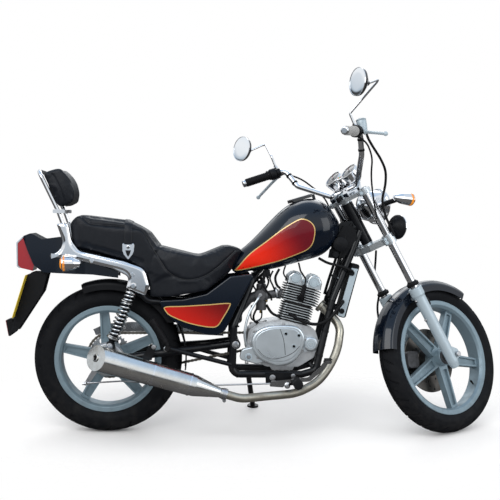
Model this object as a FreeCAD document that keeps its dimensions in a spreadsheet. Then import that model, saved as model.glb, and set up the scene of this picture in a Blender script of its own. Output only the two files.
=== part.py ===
# Cruiser motorcycle, standing on its side stand with the steering turned to the left.
#
# Each piece is modelled on the upright motorcycle, in millimetres: X forward, Y to the left, Z up,
# with the rear tyre's contact point as the origin. The fork's pieces are modelled in the fork's own
# frame: Z up along the steering axis, X square to it and forward, Y to the left. At the end the
# whole motorcycle is leaned, the fork is turned, and the underside's middle becomes the origin.
import FreeCAD, Part
import math
import os
from FreeCAD import Placement, Rotation, Vector

doc = FreeCAD.newDocument("CruiserMotorcycle")

SIZES = {
    # Stance
    "wheelbase": 1372.6,
    "lean_angle": 7.07,
    "steer_angle": 34.94,
    "rake_angle": 28.67,
    "fork_offset": 52.5,
    # Rear wheel and tyre
    "rear_tyre_radius": 299.0,
    "rear_tyre_half": 60.0,
    "rear_rim_radius": 215.0,
    "rear_rim_half": 52.0,
    "rear_hub_radius": 62.0,
    "rear_hub_half": 56.0,
    # Front wheel and tyre
    "front_tyre_radius": 309.5,
    "front_tyre_half": 45.0,
    "front_rim_radius": 240.0,
    "front_rim_half": 38.0,
    "front_hub_radius": 34.0,
    "front_hub_half": 44.0,
    # Wheel details shared by both wheels
    "rim_depth": 28.0,
    "rim_wall": 6.0,
    "spoke_count": 5.0,
    "spoke_root": 48.0,
    "spoke_tip": 36.0,
    "spoke_thick": 30.0,
    "spoke_rib": 7.0,
    "spoke_recess": 10.0,
    "axle_radius": 7.5,
    "bearing_gap": 0.05,
    "seat_gap": 0.3,
    # Brakes and drive
    "disc_radius": 135.0,
    "disc_thick": 5.0,
    "disc_middle": 57.0,
    "brake_plate_radius": 70.0,
    "brake_plate_thick": 12.0,
    "sprocket_radius": 91.0,
    "sprocket_thick": 6.0,
    "drive_radius": 33.0,
    "drive_axis": 590.0,
    "drive_drop": 5.0,
    "chain_middle": 72.0,
    "chain_width": 12.0,
    "chain_pitch": 15.9,
    # Frame
    "frame_tube": 14.5,
    "rail_tube": 11.0,
    "cradle_half": 95.0,
    "rail_half": 90.0,
    "head_bottom": 562.0,
    "head_top": 746.0,
    "head_wall": 8.0,
    "stem_radius": 15.0,
    "pivot_axis": 512.0,
    "pivot_height": 367.0,
    "pivot_radius": 8.0,
    "arm_inner": 82.0,
    "arm_thick": 22.0,
    "thread_radius": 4.0,
    "thread_depth": 16.0,
    "peg_rail_tube": 9.0,
    # Rear suspension
    "shock_middle": 119.0,
    "shock_top_x": 103.0,
    "shock_top_z": 600.0,
    "shock_foot_x": 12.0,
    "shock_foot_z": 362.0,
    "spring_radius": 24.0,
    "spring_wire": 4.0,
    "spring_turns": 11.0,
    # Body work
    "tank_half": 122.0,
    "cap_length": 104.0,
    "cap_thick": 13.0,
    "seat_half": 128.0,
    "pillion_half": 104.0,
    "strut_inner": 104.0,
    "strut_thick": 30.0,
    "pad_half": 118.0,
    "fender_radius": 331.0,
    "fender_half": 58.0,
    "fender_wall": 3.0,
    "rear_fender_gap": 16.0,
    "rear_fender_half": 74.0,
    "tail_half": 92.0,
    "panel_inner": 101.3,
    "panel_thick": 12.0,
    "air_snout_half": 46.0,
    # Engine
    "engine_half": 74.0,
    "cover_depth": 40.0,
    "cylinder_x": 752.0,
    "cylinder_z": 452.0,
    "cylinder_tilt": 14.0,
    "fin_pitch": 10.0,
    "fin_thick": 3.0,
    "fin_count": 7.0,
    "head_fin_count": 7.0,
    "plug_well": 20.0,
    # Exhaust
    "pipe_radius": 17.0,
    "muffler_radius": 50.0,
    "muffler_middle": 196.0,
    # Fork
    "leg_forward": 31.5,
    "leg_half": 92.0,
    "stanchion_radius": 16.5,
    "slider_radius": 24.5,
    "slider_top": 325.0,
    "lower_yoke": 520.0,
    "lower_yoke_thick": 40.0,
    "lower_web_thick": 26.0,
    "upper_yoke": 748.0,
    "upper_yoke_thick": 22.0,
    "upper_web_thick": 17.0,
    "clamp_radius": 26.0,
    "bar_radius": 11.0,
    "grip_radius": 16.5,
    "mirror_radius": 55.0,
    "lamp_radius": 72.0,
    "signal_radius": 31.0,
    "signal_length": 84.0,
    # Side stand
    "stand_x": 575.0,
    "stand_z": 238.0,
    "stand_y": 128.0,
    "stand_foot_x": 613.0,
    "stand_foot_y": 320.0,
    "stand_radius": 11.0,
    "foot_radius": 24.0,
    "foot_thick": 8.0,
}

sheet = doc.addObject("Spreadsheet::Sheet", "Sizes")
for row, (alias, value) in enumerate(SIZES.items(), start=1):
    sheet.set(f"A{row}", alias)
    sheet.set(f"B{row}", str(value))
    sheet.setAlias(f"B{row}", alias)
doc.recompute()


def val(alias):
    """A driving dimension, read from the sheet."""
    return float(sheet.get(alias))


X_AXIS = Vector(1, 0, 0)
Y_AXIS = Vector(0, 1, 0)
Z_AXIS = Vector(0, 0, 1)
RIGHT = -1
LEFT = 1
SIDES = (RIGHT, LEFT)

# Where things stand on the upright motorcycle
RAKE = val("rake_angle")
COS_RAKE = math.cos(math.radians(RAKE))
SIN_RAKE = math.sin(math.radians(RAKE))
REAR_AXLE = Vector(0, 0, val("rear_tyre_radius"))
FRONT_AXLE = Vector(val("wheelbase"), 0, val("front_tyre_radius"))
STEER_BASE = FRONT_AXLE - Vector(COS_RAKE, 0, SIN_RAKE) * val("fork_offset")
FORK_FRAME = Placement(STEER_BASE, Rotation(Y_AXIS, -RAKE))
SWING_PIVOT = Vector(val("pivot_axis"), 0, val("pivot_height"))
DRIVE_AXIS = Vector(val("drive_axis"), 0, val("pivot_height") - val("drive_drop"))
CYLINDER_FRAME = Placement(Vector(val("cylinder_x"), 0, val("cylinder_z")), Rotation(Y_AXIS, val("cylinder_tilt")))

# How the motorcycle stands: leaned about the line of the wheels, the fork turned about its axis
LEAN = Rotation(X_AXIS, -val("lean_angle"))
TURN = Placement(Vector(), Rotation(Z_AXIS, val("steer_angle")))


def lowest_of_tyre(axle, spin_axis, outer_radius, crown_radius):
    """Height of the lowest point of a tyre with a round crown."""
    middle_radius = outer_radius - crown_radius
    return axle.z - middle_radius * math.sqrt(1 - spin_axis.z ** 2) - crown_radius


def stance_lift():
    """How far the leaned motorcycle rises, so that the rear tyre stands on the ground."""
    axle = LEAN.multVec(REAR_AXLE)
    spin_axis = LEAN.multVec(Y_AXIS)
    return -lowest_of_tyre(axle, spin_axis, val("rear_tyre_radius"), val("rear_tyre_half"))


STAND_POSE = Placement(Vector(0, 0, stance_lift()), LEAN)


def fork_slide():
    """How far the front axle moves along the legs, so that the turned front tyre stands on the ground."""
    turned = STAND_POSE * FORK_FRAME * TURN
    axle = turned.multVec(Vector(val("fork_offset"), 0, 0))
    spin_axis = turned.Rotation.multVec(Y_AXIS)
    along_leg = turned.Rotation.multVec(Z_AXIS)
    return -lowest_of_tyre(axle, spin_axis, val("front_tyre_radius"), val("front_tyre_half")) / along_leg.z


FORK_AXLE = Vector(val("fork_offset"), 0, fork_slide())

NODES = {}


# Helpers for placing and for drawing

def rise(node, local=Placement()):
    """Stands a piece of the upright motorcycle in its leaned place and files it under its label."""
    node.Placement = STAND_POSE * local * node.Placement
    NODES[node.Label] = node
    return node


def rise_on_fork(node, local=Placement()):
    """Stands a piece of the fork in its leaned and turned place and files it under its label."""
    node.Placement = STAND_POSE * FORK_FRAME * TURN * local * node.Placement
    NODES[node.Label] = node
    return node


STRAIGHT = math.radians(89.9)


def rounded_outline(points):
    """Edges of a closed outline. A point is (x, y), or (x, y, radius) where its corner is round."""
    corners = []
    count = len(points)
    for index, point in enumerate(points):
        here = Vector(point[0], point[1])
        radius = point[2] if len(point) > 2 else 0
        back = Vector(*points[index - 1][:2]) - here
        ahead = Vector(*points[(index + 1) % count][:2]) - here
        if radius == 0:
            corners.append((here, None, here))
            continue
        half_turn = back.getAngle(ahead) / 2
        if half_turn > STRAIGHT:
            corners.append((here, None, here))
            continue
        reach = radius / math.tan(half_turn)
        start = here + back.normalize() * reach
        end = here + ahead.normalize() * reach
        inward = (back + ahead).normalize()
        middle = here + inward * (radius / math.sin(half_turn) - radius)
        corners.append((start, middle, end))
    edges = []
    for index, (start, middle, end) in enumerate(corners):
        if middle is not None:
            edges.append(Part.Arc(start, middle, end))
        following = corners[(index + 1) % count][0]
        if end.distanceToPoint(following) > 1e-6:
            edges.append(Part.LineSegment(end, following))
    return edges


def outline_face(points):
    """A flat face in the XY plane inside a rounded outline."""
    return Part.Face(Part.Wire([edge.toShape() for edge in rounded_outline(points)]))


def new_body(label):
    """A PartDesign body with this label."""
    body = doc.addObject("PartDesign::Body", label)
    body.Label = label
    return body


def new_sketch(body, name, role, offset=0.0):
    """A sketch on one of the body's own origin planes, moved along the plane's normal."""
    sketch = body.newObject("Sketcher::SketchObject", name)
    plane = [item for item in body.Origin.OriginFeatures if item.Role == role][0]
    sketch.AttachmentSupport = [(plane, "")]
    sketch.MapMode = "FlatFace"
    sketch.AttachmentOffset = Placement(Vector(0, 0, offset), Rotation())
    return sketch


def outline_sketch(body, name, role, points, offset=0.0):
    """A sketch that holds one rounded outline."""
    sketch = new_sketch(body, name, role, offset)
    for edge in rounded_outline(points):
        sketch.addGeometry(edge, False)
    return sketch


def revolve(body, name, points):
    """Turns a profile of (y, radius) points about the body's Y axis."""
    sketch = outline_sketch(body, name + "Profile", "YZ_Plane", points)
    turn = body.newObject("PartDesign::Revolution", name)
    turn.Profile = sketch
    turn.ReferenceAxis = (sketch, ["H_Axis"])
    turn.Angle = 360
    return turn


def pad(body, name, sketch, length, symmetric=True, backward=False):
    """Pads a sketch by a sheet expression."""
    feature = body.newObject("PartDesign::Pad", name)
    feature.Profile = sketch
    feature.SideType = "Symmetric" if symmetric else "One side"
    feature.Reversed = backward
    feature.setExpression("Length", length)
    return feature


def pocket(body, name, sketch, length, backward=False):
    """Cuts a sketch into the body by a sheet expression."""
    doc.recompute()
    before = body.Shape.Volume
    feature = body.newObject("PartDesign::Pocket", name)
    feature.Profile = sketch
    feature.Reversed = backward
    feature.setExpression("Length", length)
    doc.recompute()
    if body.Shape.Volume >= before:
        raise ValueError(f"{body.Label}: {name} cuts nothing")
    return feature


def plate(label, points, thickness, role="XZ_Plane"):
    """A body with one rounded outline, as thick as a sheet expression, about its plane."""
    body = new_body(label)
    sketch = outline_sketch(body, label + "Outline", role, points)
    pad(body, label + "Plate", sketch, thickness)
    return body


def spun(label, points):
    """A body with one profile of (y, radius) points, turned about its Y axis."""
    body = new_body(label)
    revolve(body, label + "Turned", points)
    return body


def feature(label, shape):
    """A plain feature that holds a shape made with Part's own functions."""
    node = doc.addObject("Part::Feature", label)
    node.Label = label
    node.Shape = shape
    return node


def bent_path(points, bend):
    """A wire of straight runs joined by tangent arcs."""
    edges = []
    start = points[0]
    for index in range(1, len(points) - 1):
        corner = points[index]
        back = (points[index - 1] - corner).normalize()
        ahead = (points[index + 1] - corner).normalize()
        half_turn = back.getAngle(ahead) / 2
        reach = bend / math.tan(half_turn)
        arc_start = corner + back * reach
        arc_end = corner + ahead * reach
        inward = (back + ahead).normalize()
        arc_middle = corner + inward * (bend / math.sin(half_turn) - bend)
        if start.distanceToPoint(arc_start) > 1e-6:
            edges.append(Part.LineSegment(start, arc_start).toShape())
        edges.append(Part.Arc(arc_start, arc_middle, arc_end).toShape())
        start = arc_end
    edges.append(Part.LineSegment(start, points[-1]).toShape())
    return Part.Wire(edges)


def bent_tube(points, radius, bend=40.0):
    """A round bar along a bent path."""
    path = bent_path(points, bend)
    section = Part.Wire(Part.makeCircle(radius, points[0], points[1] - points[0]))
    return path.makePipeShell([section], True, False)


def cable(points, radius):
    """A held cable: straight runs joined by arcs as large as the runs allow."""
    edges = []
    start = points[0]
    for index in range(1, len(points) - 1):
        corner = points[index]
        back = points[index - 1] - corner
        ahead = points[index + 1] - corner
        half_turn = back.getAngle(ahead) / 2
        reach = 0.45 * min(back.Length, ahead.Length)
        bend = reach * math.tan(half_turn)
        back.normalize()
        ahead.normalize()
        arc_start = corner + back * reach
        arc_end = corner + ahead * reach
        inward = (back + ahead).normalize()
        arc_middle = corner + inward * (bend / math.sin(half_turn) - bend)
        edges.append(Part.LineSegment(start, arc_start).toShape())
        edges.append(Part.Arc(arc_start, arc_middle, arc_end).toShape())
        start = arc_end
    edges.append(Part.LineSegment(start, points[-1]).toShape())
    path = Part.Wire(edges)
    section = Part.Wire(Part.makeCircle(radius, points[0], points[1] - points[0]))
    tube = path.makePipeShell([section], True, False)
    expected = math.pi * radius ** 2 * path.Length
    if abs(tube.Volume - expected) > 0.02 * expected:
        raise ValueError("a cable's tube doesn't follow its path")
    return tube


def rod(start, end, radius):
    """A round bar between two points."""
    return Part.makeCylinder(radius, start.distanceToPoint(end), start, end - start)


def prism(points, thickness, middle=0.0):
    """A plate in the XZ plane, its thickness along Y, from a rounded outline of (x, z) points."""
    face = outline_face(points)
    face.rotate(Vector(), X_AXIS, 90)
    face.translate(Vector(0, middle + thickness / 2, 0))
    return face.extrude(Vector(0, -thickness, 0))


def slab(points, bottom, height):
    """A plate in the XY plane from a rounded outline of (x, y) points."""
    face = outline_face(points)
    face.translate(Vector(0, 0, bottom))
    return face.extrude(Vector(0, 0, height))


def turned_solid(points, base=Vector(), direction=Y_AXIS):
    """A profile of (along, radius) points turned about an axis through a base point."""
    face = outline_face(points)
    solid = face.revolve(Vector(), X_AXIS, 360)
    solid.Placement = Placement(base, Rotation(X_AXIS, direction))
    return solid


def joined(shapes):
    """One shape fused from several."""
    return shapes[0].fuse(shapes[1:]).removeSplitter() if len(shapes) > 1 else shapes[0]


def group(label, shapes):
    """A node of several solids that don't touch."""
    return feature(label, Part.makeCompound(shapes))


# Wheels

def wheel_body(label, rim_radius, rim_half, hub_radius, hub_half, phase):
    """A cast wheel about its Y axis: rim, hub and ribbed spokes."""
    body = new_body(label)
    depth = val("rim_depth")
    wall = val("rim_wall")
    rim_inner = rim_radius - depth
    revolve(body, label + "Rim", [
        (-rim_half, rim_radius, 2), (-rim_half, rim_inner + 9, 4), (-rim_half + 10, rim_inner, 4),
        (rim_half - 10, rim_inner, 4), (rim_half, rim_inner + 9, 4), (rim_half, rim_radius, 2),
        (rim_half - wall, rim_radius, 2), (rim_half - wall, rim_inner + 17), (rim_half - 18, rim_inner + 15),
        (rim_half - 24, rim_inner + wall), (-rim_half + 24, rim_inner + wall), (-rim_half + 18, rim_inner + 15),
        (-rim_half + wall, rim_inner + 17), (-rim_half + wall, rim_radius, 2)])
    bore = val("axle_radius") + val("bearing_gap")
    revolve(body, label + "Hub", [
        (-hub_half, bore), (-hub_half, hub_radius, 4), (-val("spoke_thick") / 2, hub_radius + 2, 3),
        (val("spoke_thick") / 2, hub_radius + 2, 3), (hub_half, hub_radius, 4), (hub_half, bore)])
    root = val("spoke_root") / 2
    tip = val("spoke_tip") / 2
    outline = [(hub_radius - 6, -root), (rim_inner + 3, -tip), (rim_inner + 3, tip), (hub_radius - 6, root)]
    spoke = pad(body, label + "Spoke", outline_sketch(body, label + "SpokeOutline", "XZ_Plane", outline),
                "Sizes.spoke_thick")
    rib = val("spoke_rib")
    recess = [(hub_radius + 16, -root + rib + 1, 3), (rim_inner - 10, -tip + rib, 3),
              (rim_inner - 10, tip - rib, 3), (hub_radius + 16, root - rib - 1, 3)]
    originals = [spoke]
    half_thick = val("spoke_thick") / 2
    for side in SIDES:
        sketch = outline_sketch(body, f"{label}Recess{side}", "XZ_Plane", recess, offset=side * half_thick)
        originals.append(pocket(body, f"{label}Channel{side}", sketch, "Sizes.spoke_recess", backward=side < 0))
    spokes = body.newObject("PartDesign::PolarPattern", label + "Spokes")
    spokes.Originals = originals
    spokes.Axis = (originals[0].Profile[0], ["N_Axis"])
    spokes.Angle = 360
    spokes.setExpression("Occurrences", "Sizes.spoke_count")
    body.Tip = spokes
    return body, Rotation(Y_AXIS, -phase)


def tyre_body(label, outer_radius, half_width, rim_radius, rim_half):
    """A tyre about its Y axis with a round crown, seated between the rim's flanges."""
    gap = val("seat_gap")
    inner_half = rim_half - val("rim_wall") - gap
    seat_radius = rim_radius - val("rim_depth") + 18 + gap
    middle = outer_radius - half_width
    body = new_body(label)
    sketch = new_sketch(body, label + "Section", "YZ_Plane")
    lip = Vector(inner_half, rim_radius + gap + 1)
    edges = [
        Part.Arc(Vector(-half_width, middle), Vector(0, outer_radius), Vector(half_width, middle)),
        Part.LineSegment(Vector(half_width, middle), Vector(half_width - 1, middle - 8)),
        Part.LineSegment(Vector(half_width - 1, middle - 8), Vector(rim_half - 2, rim_radius + gap + 1)),
        Part.LineSegment(Vector(rim_half - 2, rim_radius + gap + 1), lip),
        Part.LineSegment(lip, Vector(inner_half, seat_radius)),
        Part.LineSegment(Vector(inner_half, seat_radius), Vector(-inner_half, seat_radius)),
        Part.LineSegment(Vector(-inner_half, seat_radius), Vector(-lip.x, lip.y)),
        Part.LineSegment(Vector(-lip.x, lip.y), Vector(-rim_half + 2, lip.y)),
        Part.LineSegment(Vector(-rim_half + 2, lip.y), Vector(-half_width + 1, middle - 8)),
        Part.LineSegment(Vector(-half_width + 1, middle - 8), Vector(-half_width, middle))]
    for edge in edges:
        sketch.addGeometry(edge, False)
    turn = body.newObject("PartDesign::Revolution", label + "Turned")
    turn.Profile = sketch
    turn.ReferenceAxis = (sketch, ["H_Axis"])
    turn.Angle = 360
    return body


REAR_PHASE = 24.0
FRONT_PHASE = 67.0

rear_wheel, rear_turn = wheel_body("rear_wheel", val("rear_rim_radius"), val("rear_rim_half"),
                                   val("rear_hub_radius"), val("rear_hub_half"), REAR_PHASE)
rise(rear_wheel, Placement(REAR_AXLE, rear_turn))
rise(tyre_body("rear_tyre", val("rear_tyre_radius"), val("rear_tyre_half"), val("rear_rim_radius"),
               val("rear_rim_half")), Placement(REAR_AXLE, Rotation()))

front_wheel, front_turn = wheel_body("front_wheel", val("front_rim_radius"), val("front_rim_half"),
                                     val("front_hub_radius"), val("front_hub_half"), FRONT_PHASE)
UPRIGHT = Rotation(Y_AXIS, RAKE)
rise_on_fork(front_wheel, Placement(FORK_AXLE, UPRIGHT * front_turn))
rise_on_fork(tyre_body("front_tyre", val("front_tyre_radius"), val("front_tyre_half"), val("front_rim_radius"),
                       val("front_rim_half")), Placement(FORK_AXLE, UPRIGHT))


def brake_disc():
    """The front disc with its carrier, on the left of the hub."""
    inner = val("disc_middle") - val("disc_thick") / 2
    outer = val("disc_middle") + val("disc_thick") / 2
    hub_end = val("front_hub_half") + val("seat_gap")
    bore = val("axle_radius") + val("bearing_gap")
    return spun("brake_disc", [
        (hub_end, bore), (hub_end, 30), (inner - 4, 62), (inner, 66), (inner, val("disc_radius")),
        (outer, val("disc_radius")), (outer, 62), (outer - 4, 56), (outer - 4, bore)])


rise_on_fork(brake_disc(), Placement(FORK_AXLE, UPRIGHT))


def rear_sprocket():
    """The rear sprocket with its teeth, on the left of the hub."""
    root = val("sprocket_radius") - 7
    tip = val("sprocket_radius") - 1.5
    teeth = round(2 * math.pi * val("sprocket_radius") / val("chain_pitch"))
    points = []
    for tooth in range(teeth):
        for share, radius in ((-0.3, root), (-0.12, tip), (0.12, tip), (0.3, root)):
            angle = 2 * math.pi * (tooth + share) / teeth
            points.append((radius * math.cos(angle), radius * math.sin(angle)))
    toothed = prism(points, val("sprocket_thick"), val("chain_middle"))
    bore = val("axle_radius") + val("bearing_gap")
    carrier_start = val("rear_hub_half") + val("seat_gap")
    carrier = turned_solid([(carrier_start, bore), (carrier_start, 52), (val("chain_middle"), 46),
                            (val("chain_middle"), bore)])
    sprocket = joined([toothed, carrier])
    cuts = [Part.makeCylinder(bore, 80, Vector(0, 30, 0), Y_AXIS)]
    for index in range(6):
        angle = math.radians(60 * index)
        cuts.append(Part.makeCylinder(11, 60, Vector(66 * math.cos(angle), 40, 66 * math.sin(angle)), Y_AXIS))
    return feature("rear_sprocket", sprocket.cut(cuts))


rise(rear_sprocket(), Placement(REAR_AXLE, Rotation()))


# Frame

def at(x, z, y=0.0):
    """A point of the upright motorcycle, from its side view and its distance to the left."""
    return Vector(x, y, z)


def on_axis(height, forward=0.0):
    """A point of the upright motorcycle beside the steering axis, at a height of the fork's frame."""
    return FORK_FRAME.multVec(Vector(forward, 0, height))


PEG_RAIL = at(252, 350, 128)


def main_frame():
    """Head tube, backbone, down tubes, cradle rails, seat posts and cross tubes."""
    tube = val("frame_tube")
    half = val("cradle_half")
    along = (on_axis(val("head_top")) - on_axis(val("head_bottom"))).normalize()
    head_length = val("head_top") - val("head_bottom")
    bore = val("stem_radius") + val("bearing_gap")
    head = rod(on_axis(val("head_bottom")), on_axis(val("head_top")), bore + val("head_wall"))
    backbone = bent_tube([on_axis(val("head_top") - 104, -8), at(880, 800), at(640, 702), at(590, 650)], 19, 60)
    tubes = [head, backbone]
    for side in SIDES:
        tubes.append(bent_tube([
            on_axis(val("head_bottom") + 58, -6) + Vector(0, side * 12, 0), at(905, 545, side * 66),
            at(838, 262, side * half), at(780, 246, side * half), at(500, 246, side * half),
            at(505, 440, side * half), at(582, 628, side * 40), at(590, 638, 0)], tube, 30))
        tubes.append(rod(at(0, 0, side * (half - tube)) + SWING_PIVOT, at(0, 0, side * (half + tube)) + SWING_PIVOT, 20))
    for side in SIDES:
        tubes.append(prism([(1028, 796, 6), (989, 868, 6), (944, 860, 10), (914, 800, 10), (906, 742, 10), (964, 708, 10)],
                           5, side * 13.5))
        tubes.append(rod(at(500, 284, side * (half + 5)), Vector(PEG_RAIL.x, side * PEG_RAIL.y, PEG_RAIL.z),
                         val("peg_rail_tube")))
    tubes.append(rod(at(838, 262, -half), at(838, 262, half), 11))
    tubes.append(rod(at(500, 262, -half), at(500, 262, half), 12))
    frame = joined(tubes)
    cuts = [rod(on_axis(val("head_bottom")) - along, on_axis(val("head_top")) + along, bore)]
    cuts.append(rod(at(0, 0, -150) + SWING_PIVOT, at(0, 0, 150) + SWING_PIVOT, val("pivot_radius") + val("bearing_gap")))
    return frame.cut(cuts)


def rear_frame():
    """The two rails under the seat that carry the struts, shock absorbers and rear fender."""
    rails = []
    y = val("rail_half")
    for side in SIDES:
        rails.append(bent_tube([at(512, 524, side * y), at(300, 528, side * y), at(150, 538, side * y),
                                at(96, 648, side * y), at(-68, 700, side * y)], val("rail_tube"), 45))
        strut_face = side * (val("strut_inner") - val("seat_gap"))
        for boss in (at(100, 645), at(-60, 698)):
            rails.append(rod(Vector(boss.x, side * (y - 2), boss.z), Vector(boss.x, strut_face, boss.z), 9))
    rails.append(rod(at(330, 528, -y), at(330, 528, y), 9))
    return feature("rear_frame", joined(rails))


rise(rear_frame())


THREAD = at(-21, 303)
THREAD_FACE = val("arm_inner") + val("arm_thick")


def swingarm():
    """Two arms from the pivot to the rear axle, a cross tube, and lugs for the shock absorbers."""
    solids = []
    thick = val("arm_thick")
    half = val("cradle_half") - val("frame_tube") - val("seat_gap")
    for side in SIDES:
        middle = side * (val("arm_inner") + thick / 2)
        solids.append(prism([(-34, 281, 16), (-34, 317, 16), (-6, 326, 10), (-4, 376, 12), (28, 376, 12),
                             (36, 330, 12), (70, 326), (70, 290), (30, 278, 20)], thick, middle))
        solids.append(bent_tube([at(40, 305, middle), SWING_PIVOT + at(-232, -29, middle),
                                 SWING_PIVOT + at(-102, -15, side * 56), SWING_PIVOT + at(0, -1, side * 56)], 15, 60))
    solids.append(rod(at(0, 0, -half) + SWING_PIVOT, at(0, 0, half) + SWING_PIVOT, 19))
    arm = joined(solids)
    reach = val("arm_inner") + thick + 1
    axle_slot = rod(at(0, 0, -reach) + REAR_AXLE, at(0, 0, reach) + REAR_AXLE, val("axle_radius") + val("bearing_gap"))
    pivot_bore = rod(at(0, 0, -reach) + SWING_PIVOT, at(0, 0, reach) + SWING_PIVOT,
                     val("pivot_radius") + val("bearing_gap"))
    thread = rod(at(THREAD.x, THREAD.z, THREAD_FACE - val("thread_depth")), at(THREAD.x, THREAD.z, THREAD_FACE + 1),
                 val("thread_radius"))
    return feature("swingarm", arm.cut([axle_slot, pivot_bore, thread]))


rise(swingarm())


def axle_shaft(label, half_length, nut_radius, place):
    """A plain axle with a nut on each end."""
    radius = val("axle_radius")
    return rise(spun(label, [
        (-half_length - 16, 0), (-half_length - 16, radius - 1), (-half_length - 9, radius), (-half_length - 9, nut_radius),
        (-half_length - 0.3, nut_radius), (-half_length - 0.3, radius), (half_length + 0.3, radius),
        (half_length + 0.3, nut_radius), (half_length + 10, nut_radius), (half_length + 10, 0)]), place)


axle_shaft("rear_axle", val("arm_inner") + val("arm_thick"), 12, Placement(REAR_AXLE, Rotation()))


def swing_pivot():
    """The bolt through the frame and the swingarm."""
    half = val("cradle_half") + val("frame_tube")
    radius = val("pivot_radius")
    return spun("swing_pivot", [
        (-half - 9, 0), (-half - 9, 13, 2), (-half - 0.3, 13), (-half - 0.3, radius), (half + 0.3, radius),
        (half + 0.3, 13), (half + 9, 13, 2), (half + 9, 0)])


rise(swing_pivot(), Placement(SWING_PIVOT, Rotation()))


def rear_brake():
    """The drum's backing plate on the right with its lever, and the rod to the pedal."""
    hub_end = -val("rear_hub_half") - 2
    radius = val("brake_plate_radius")
    thick = val("brake_plate_thick")
    plate_solid = turned_solid([(hub_end, val("axle_radius") + 0.3), (hub_end, radius - 4), (hub_end - 3, radius, 2),
                                (hub_end - thick, radius - 8, 4), (hub_end - thick - 3, 24), (hub_end - thick - 3, 8)],
                               REAR_AXLE, Y_AXIS)
    plate_solid = plate_solid.cut(rod(at(0, 0, -120) + REAR_AXLE, REAR_AXLE, val("axle_radius") + 0.3))
    lever_y = hub_end - thick - 4
    cam = at(-42, 266)
    lever_end = at(-84, 205)
    boss = rod(cam + Vector(0, lever_y - 5, 0), cam + Vector(0, lever_y + 6, 0), 9)
    lever = prism([(-50, 276, 6), (-34, 276, 6), (-34, 258, 4), (-76, 196, 6), (-92, 204, 6)], 6, lever_y)
    brake_rod = bent_tube([lever_end + Vector(0, lever_y - 6, 0), at(60, 214, lever_y - 6), at(330, 204, -132),
                           at(650, 216, -146)], 3.2, 60)
    pin = rod(lever_end + Vector(0, lever_y - 10, 0), lever_end + Vector(0, lever_y + 4, 0), 6)
    return group("rear_brake", [joined([plate_solid, boss, lever, pin, brake_rod])])


rise(rear_brake())


def chain_path():
    """The closed centre line of the chain: tangent runs joined by the two sprockets' arcs."""
    big = val("sprocket_radius")
    small = val("drive_radius")
    span = DRIVE_AXIS - REAR_AXLE
    distance = math.hypot(span.x, span.z)
    slope = math.atan2(span.z, span.x)
    spread = math.acos((big - small) / distance)
    points = []
    run = math.sqrt(distance ** 2 - (big - small) ** 2)
    length = 2 * run + big * (2 * math.pi - 2 * spread) + small * 2 * spread
    links = 2 * round(length / val("chain_pitch") / 2)
    step = length / links
    for index in range(links * 2):
        travel = index * step / 2
        if travel < run:
            angle = slope + spread
            start = Vector(big * math.cos(angle), 0, big * math.sin(angle)) + REAR_AXLE
            along = Vector(math.sin(angle), 0, -math.cos(angle))
            points.append((start + along * travel, along))
            continue
        travel -= run
        if travel < small * 2 * spread:
            angle = slope + spread - travel / small
            points.append((DRIVE_AXIS + Vector(small * math.cos(angle), 0, small * math.sin(angle)),
                           Vector(math.sin(angle), 0, -math.cos(angle))))
            continue
        travel -= small * 2 * spread
        angle = slope - spread
        along = Vector(math.sin(angle), 0, -math.cos(angle))
        if travel < run:
            start = DRIVE_AXIS + Vector(small * math.cos(angle), 0, small * math.sin(angle))
            points.append((start + along * travel, along))
            continue
        angle -= (travel - run) / big
        points.append((REAR_AXLE + Vector(big * math.cos(angle), 0, big * math.sin(angle)),
                       Vector(math.sin(angle), 0, -math.cos(angle))))
    return points


def drive_chain():
    """The chain as one loop, waisted at every link, with a channel inside for the sprockets' teeth."""
    outer = []
    inner = []
    middle = []
    for index, (point, along) in enumerate(chain_path()):
        outward = Vector(-along.z, 0, along.x)
        half = 5.6 if index % 2 == 0 else 3.8
        tip = point + outward * half
        root = point - outward * half
        outer.append((tip.x, tip.z))
        inner.append((root.x, root.z))
        middle.append((point.x, point.z))
    width = val("chain_width")
    loop = prism(outer, width, val("chain_middle"))
    teeth_room = prism(middle, val("sprocket_thick") + 2, val("chain_middle"))
    return feature("drive_chain", loop.cut([prism(inner, width + 2, val("chain_middle")), teeth_room]))


rise(drive_chain())


def chain_guard():
    """The guard over the chain's upper run: a top and an outer skirt."""
    wall = 2.0
    outline = [(-70, 404), (-20, 428, 30), (90, 436, 30), (430, 420, 20), (470, 404), (470, 380), (90, 396), (-60, 380)]
    top = [(-70, 404), (-20, 428, 30), (90, 436, 30), (430, 420, 20), (470, 404), (468, 402), (430, 417, 18),
           (90, 433, 28), (-20, 425, 28), (-69, 402)]
    outer_y = val("chain_middle") + val("chain_width") / 2 + 1.5
    skirt = prism(outline, wall, outer_y + wall / 2)
    roof = prism(top, val("chain_width") + 6, val("chain_middle") - 1 + wall / 2)
    tab = prism([(180, 430), (200, 430), (200, 336.8), (180, 334.0)], 1.5, outer_y + wall / 2)
    return feature("chain_guard", joined([skirt, roof, tab]))


rise(chain_guard())


# Rear suspension

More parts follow.
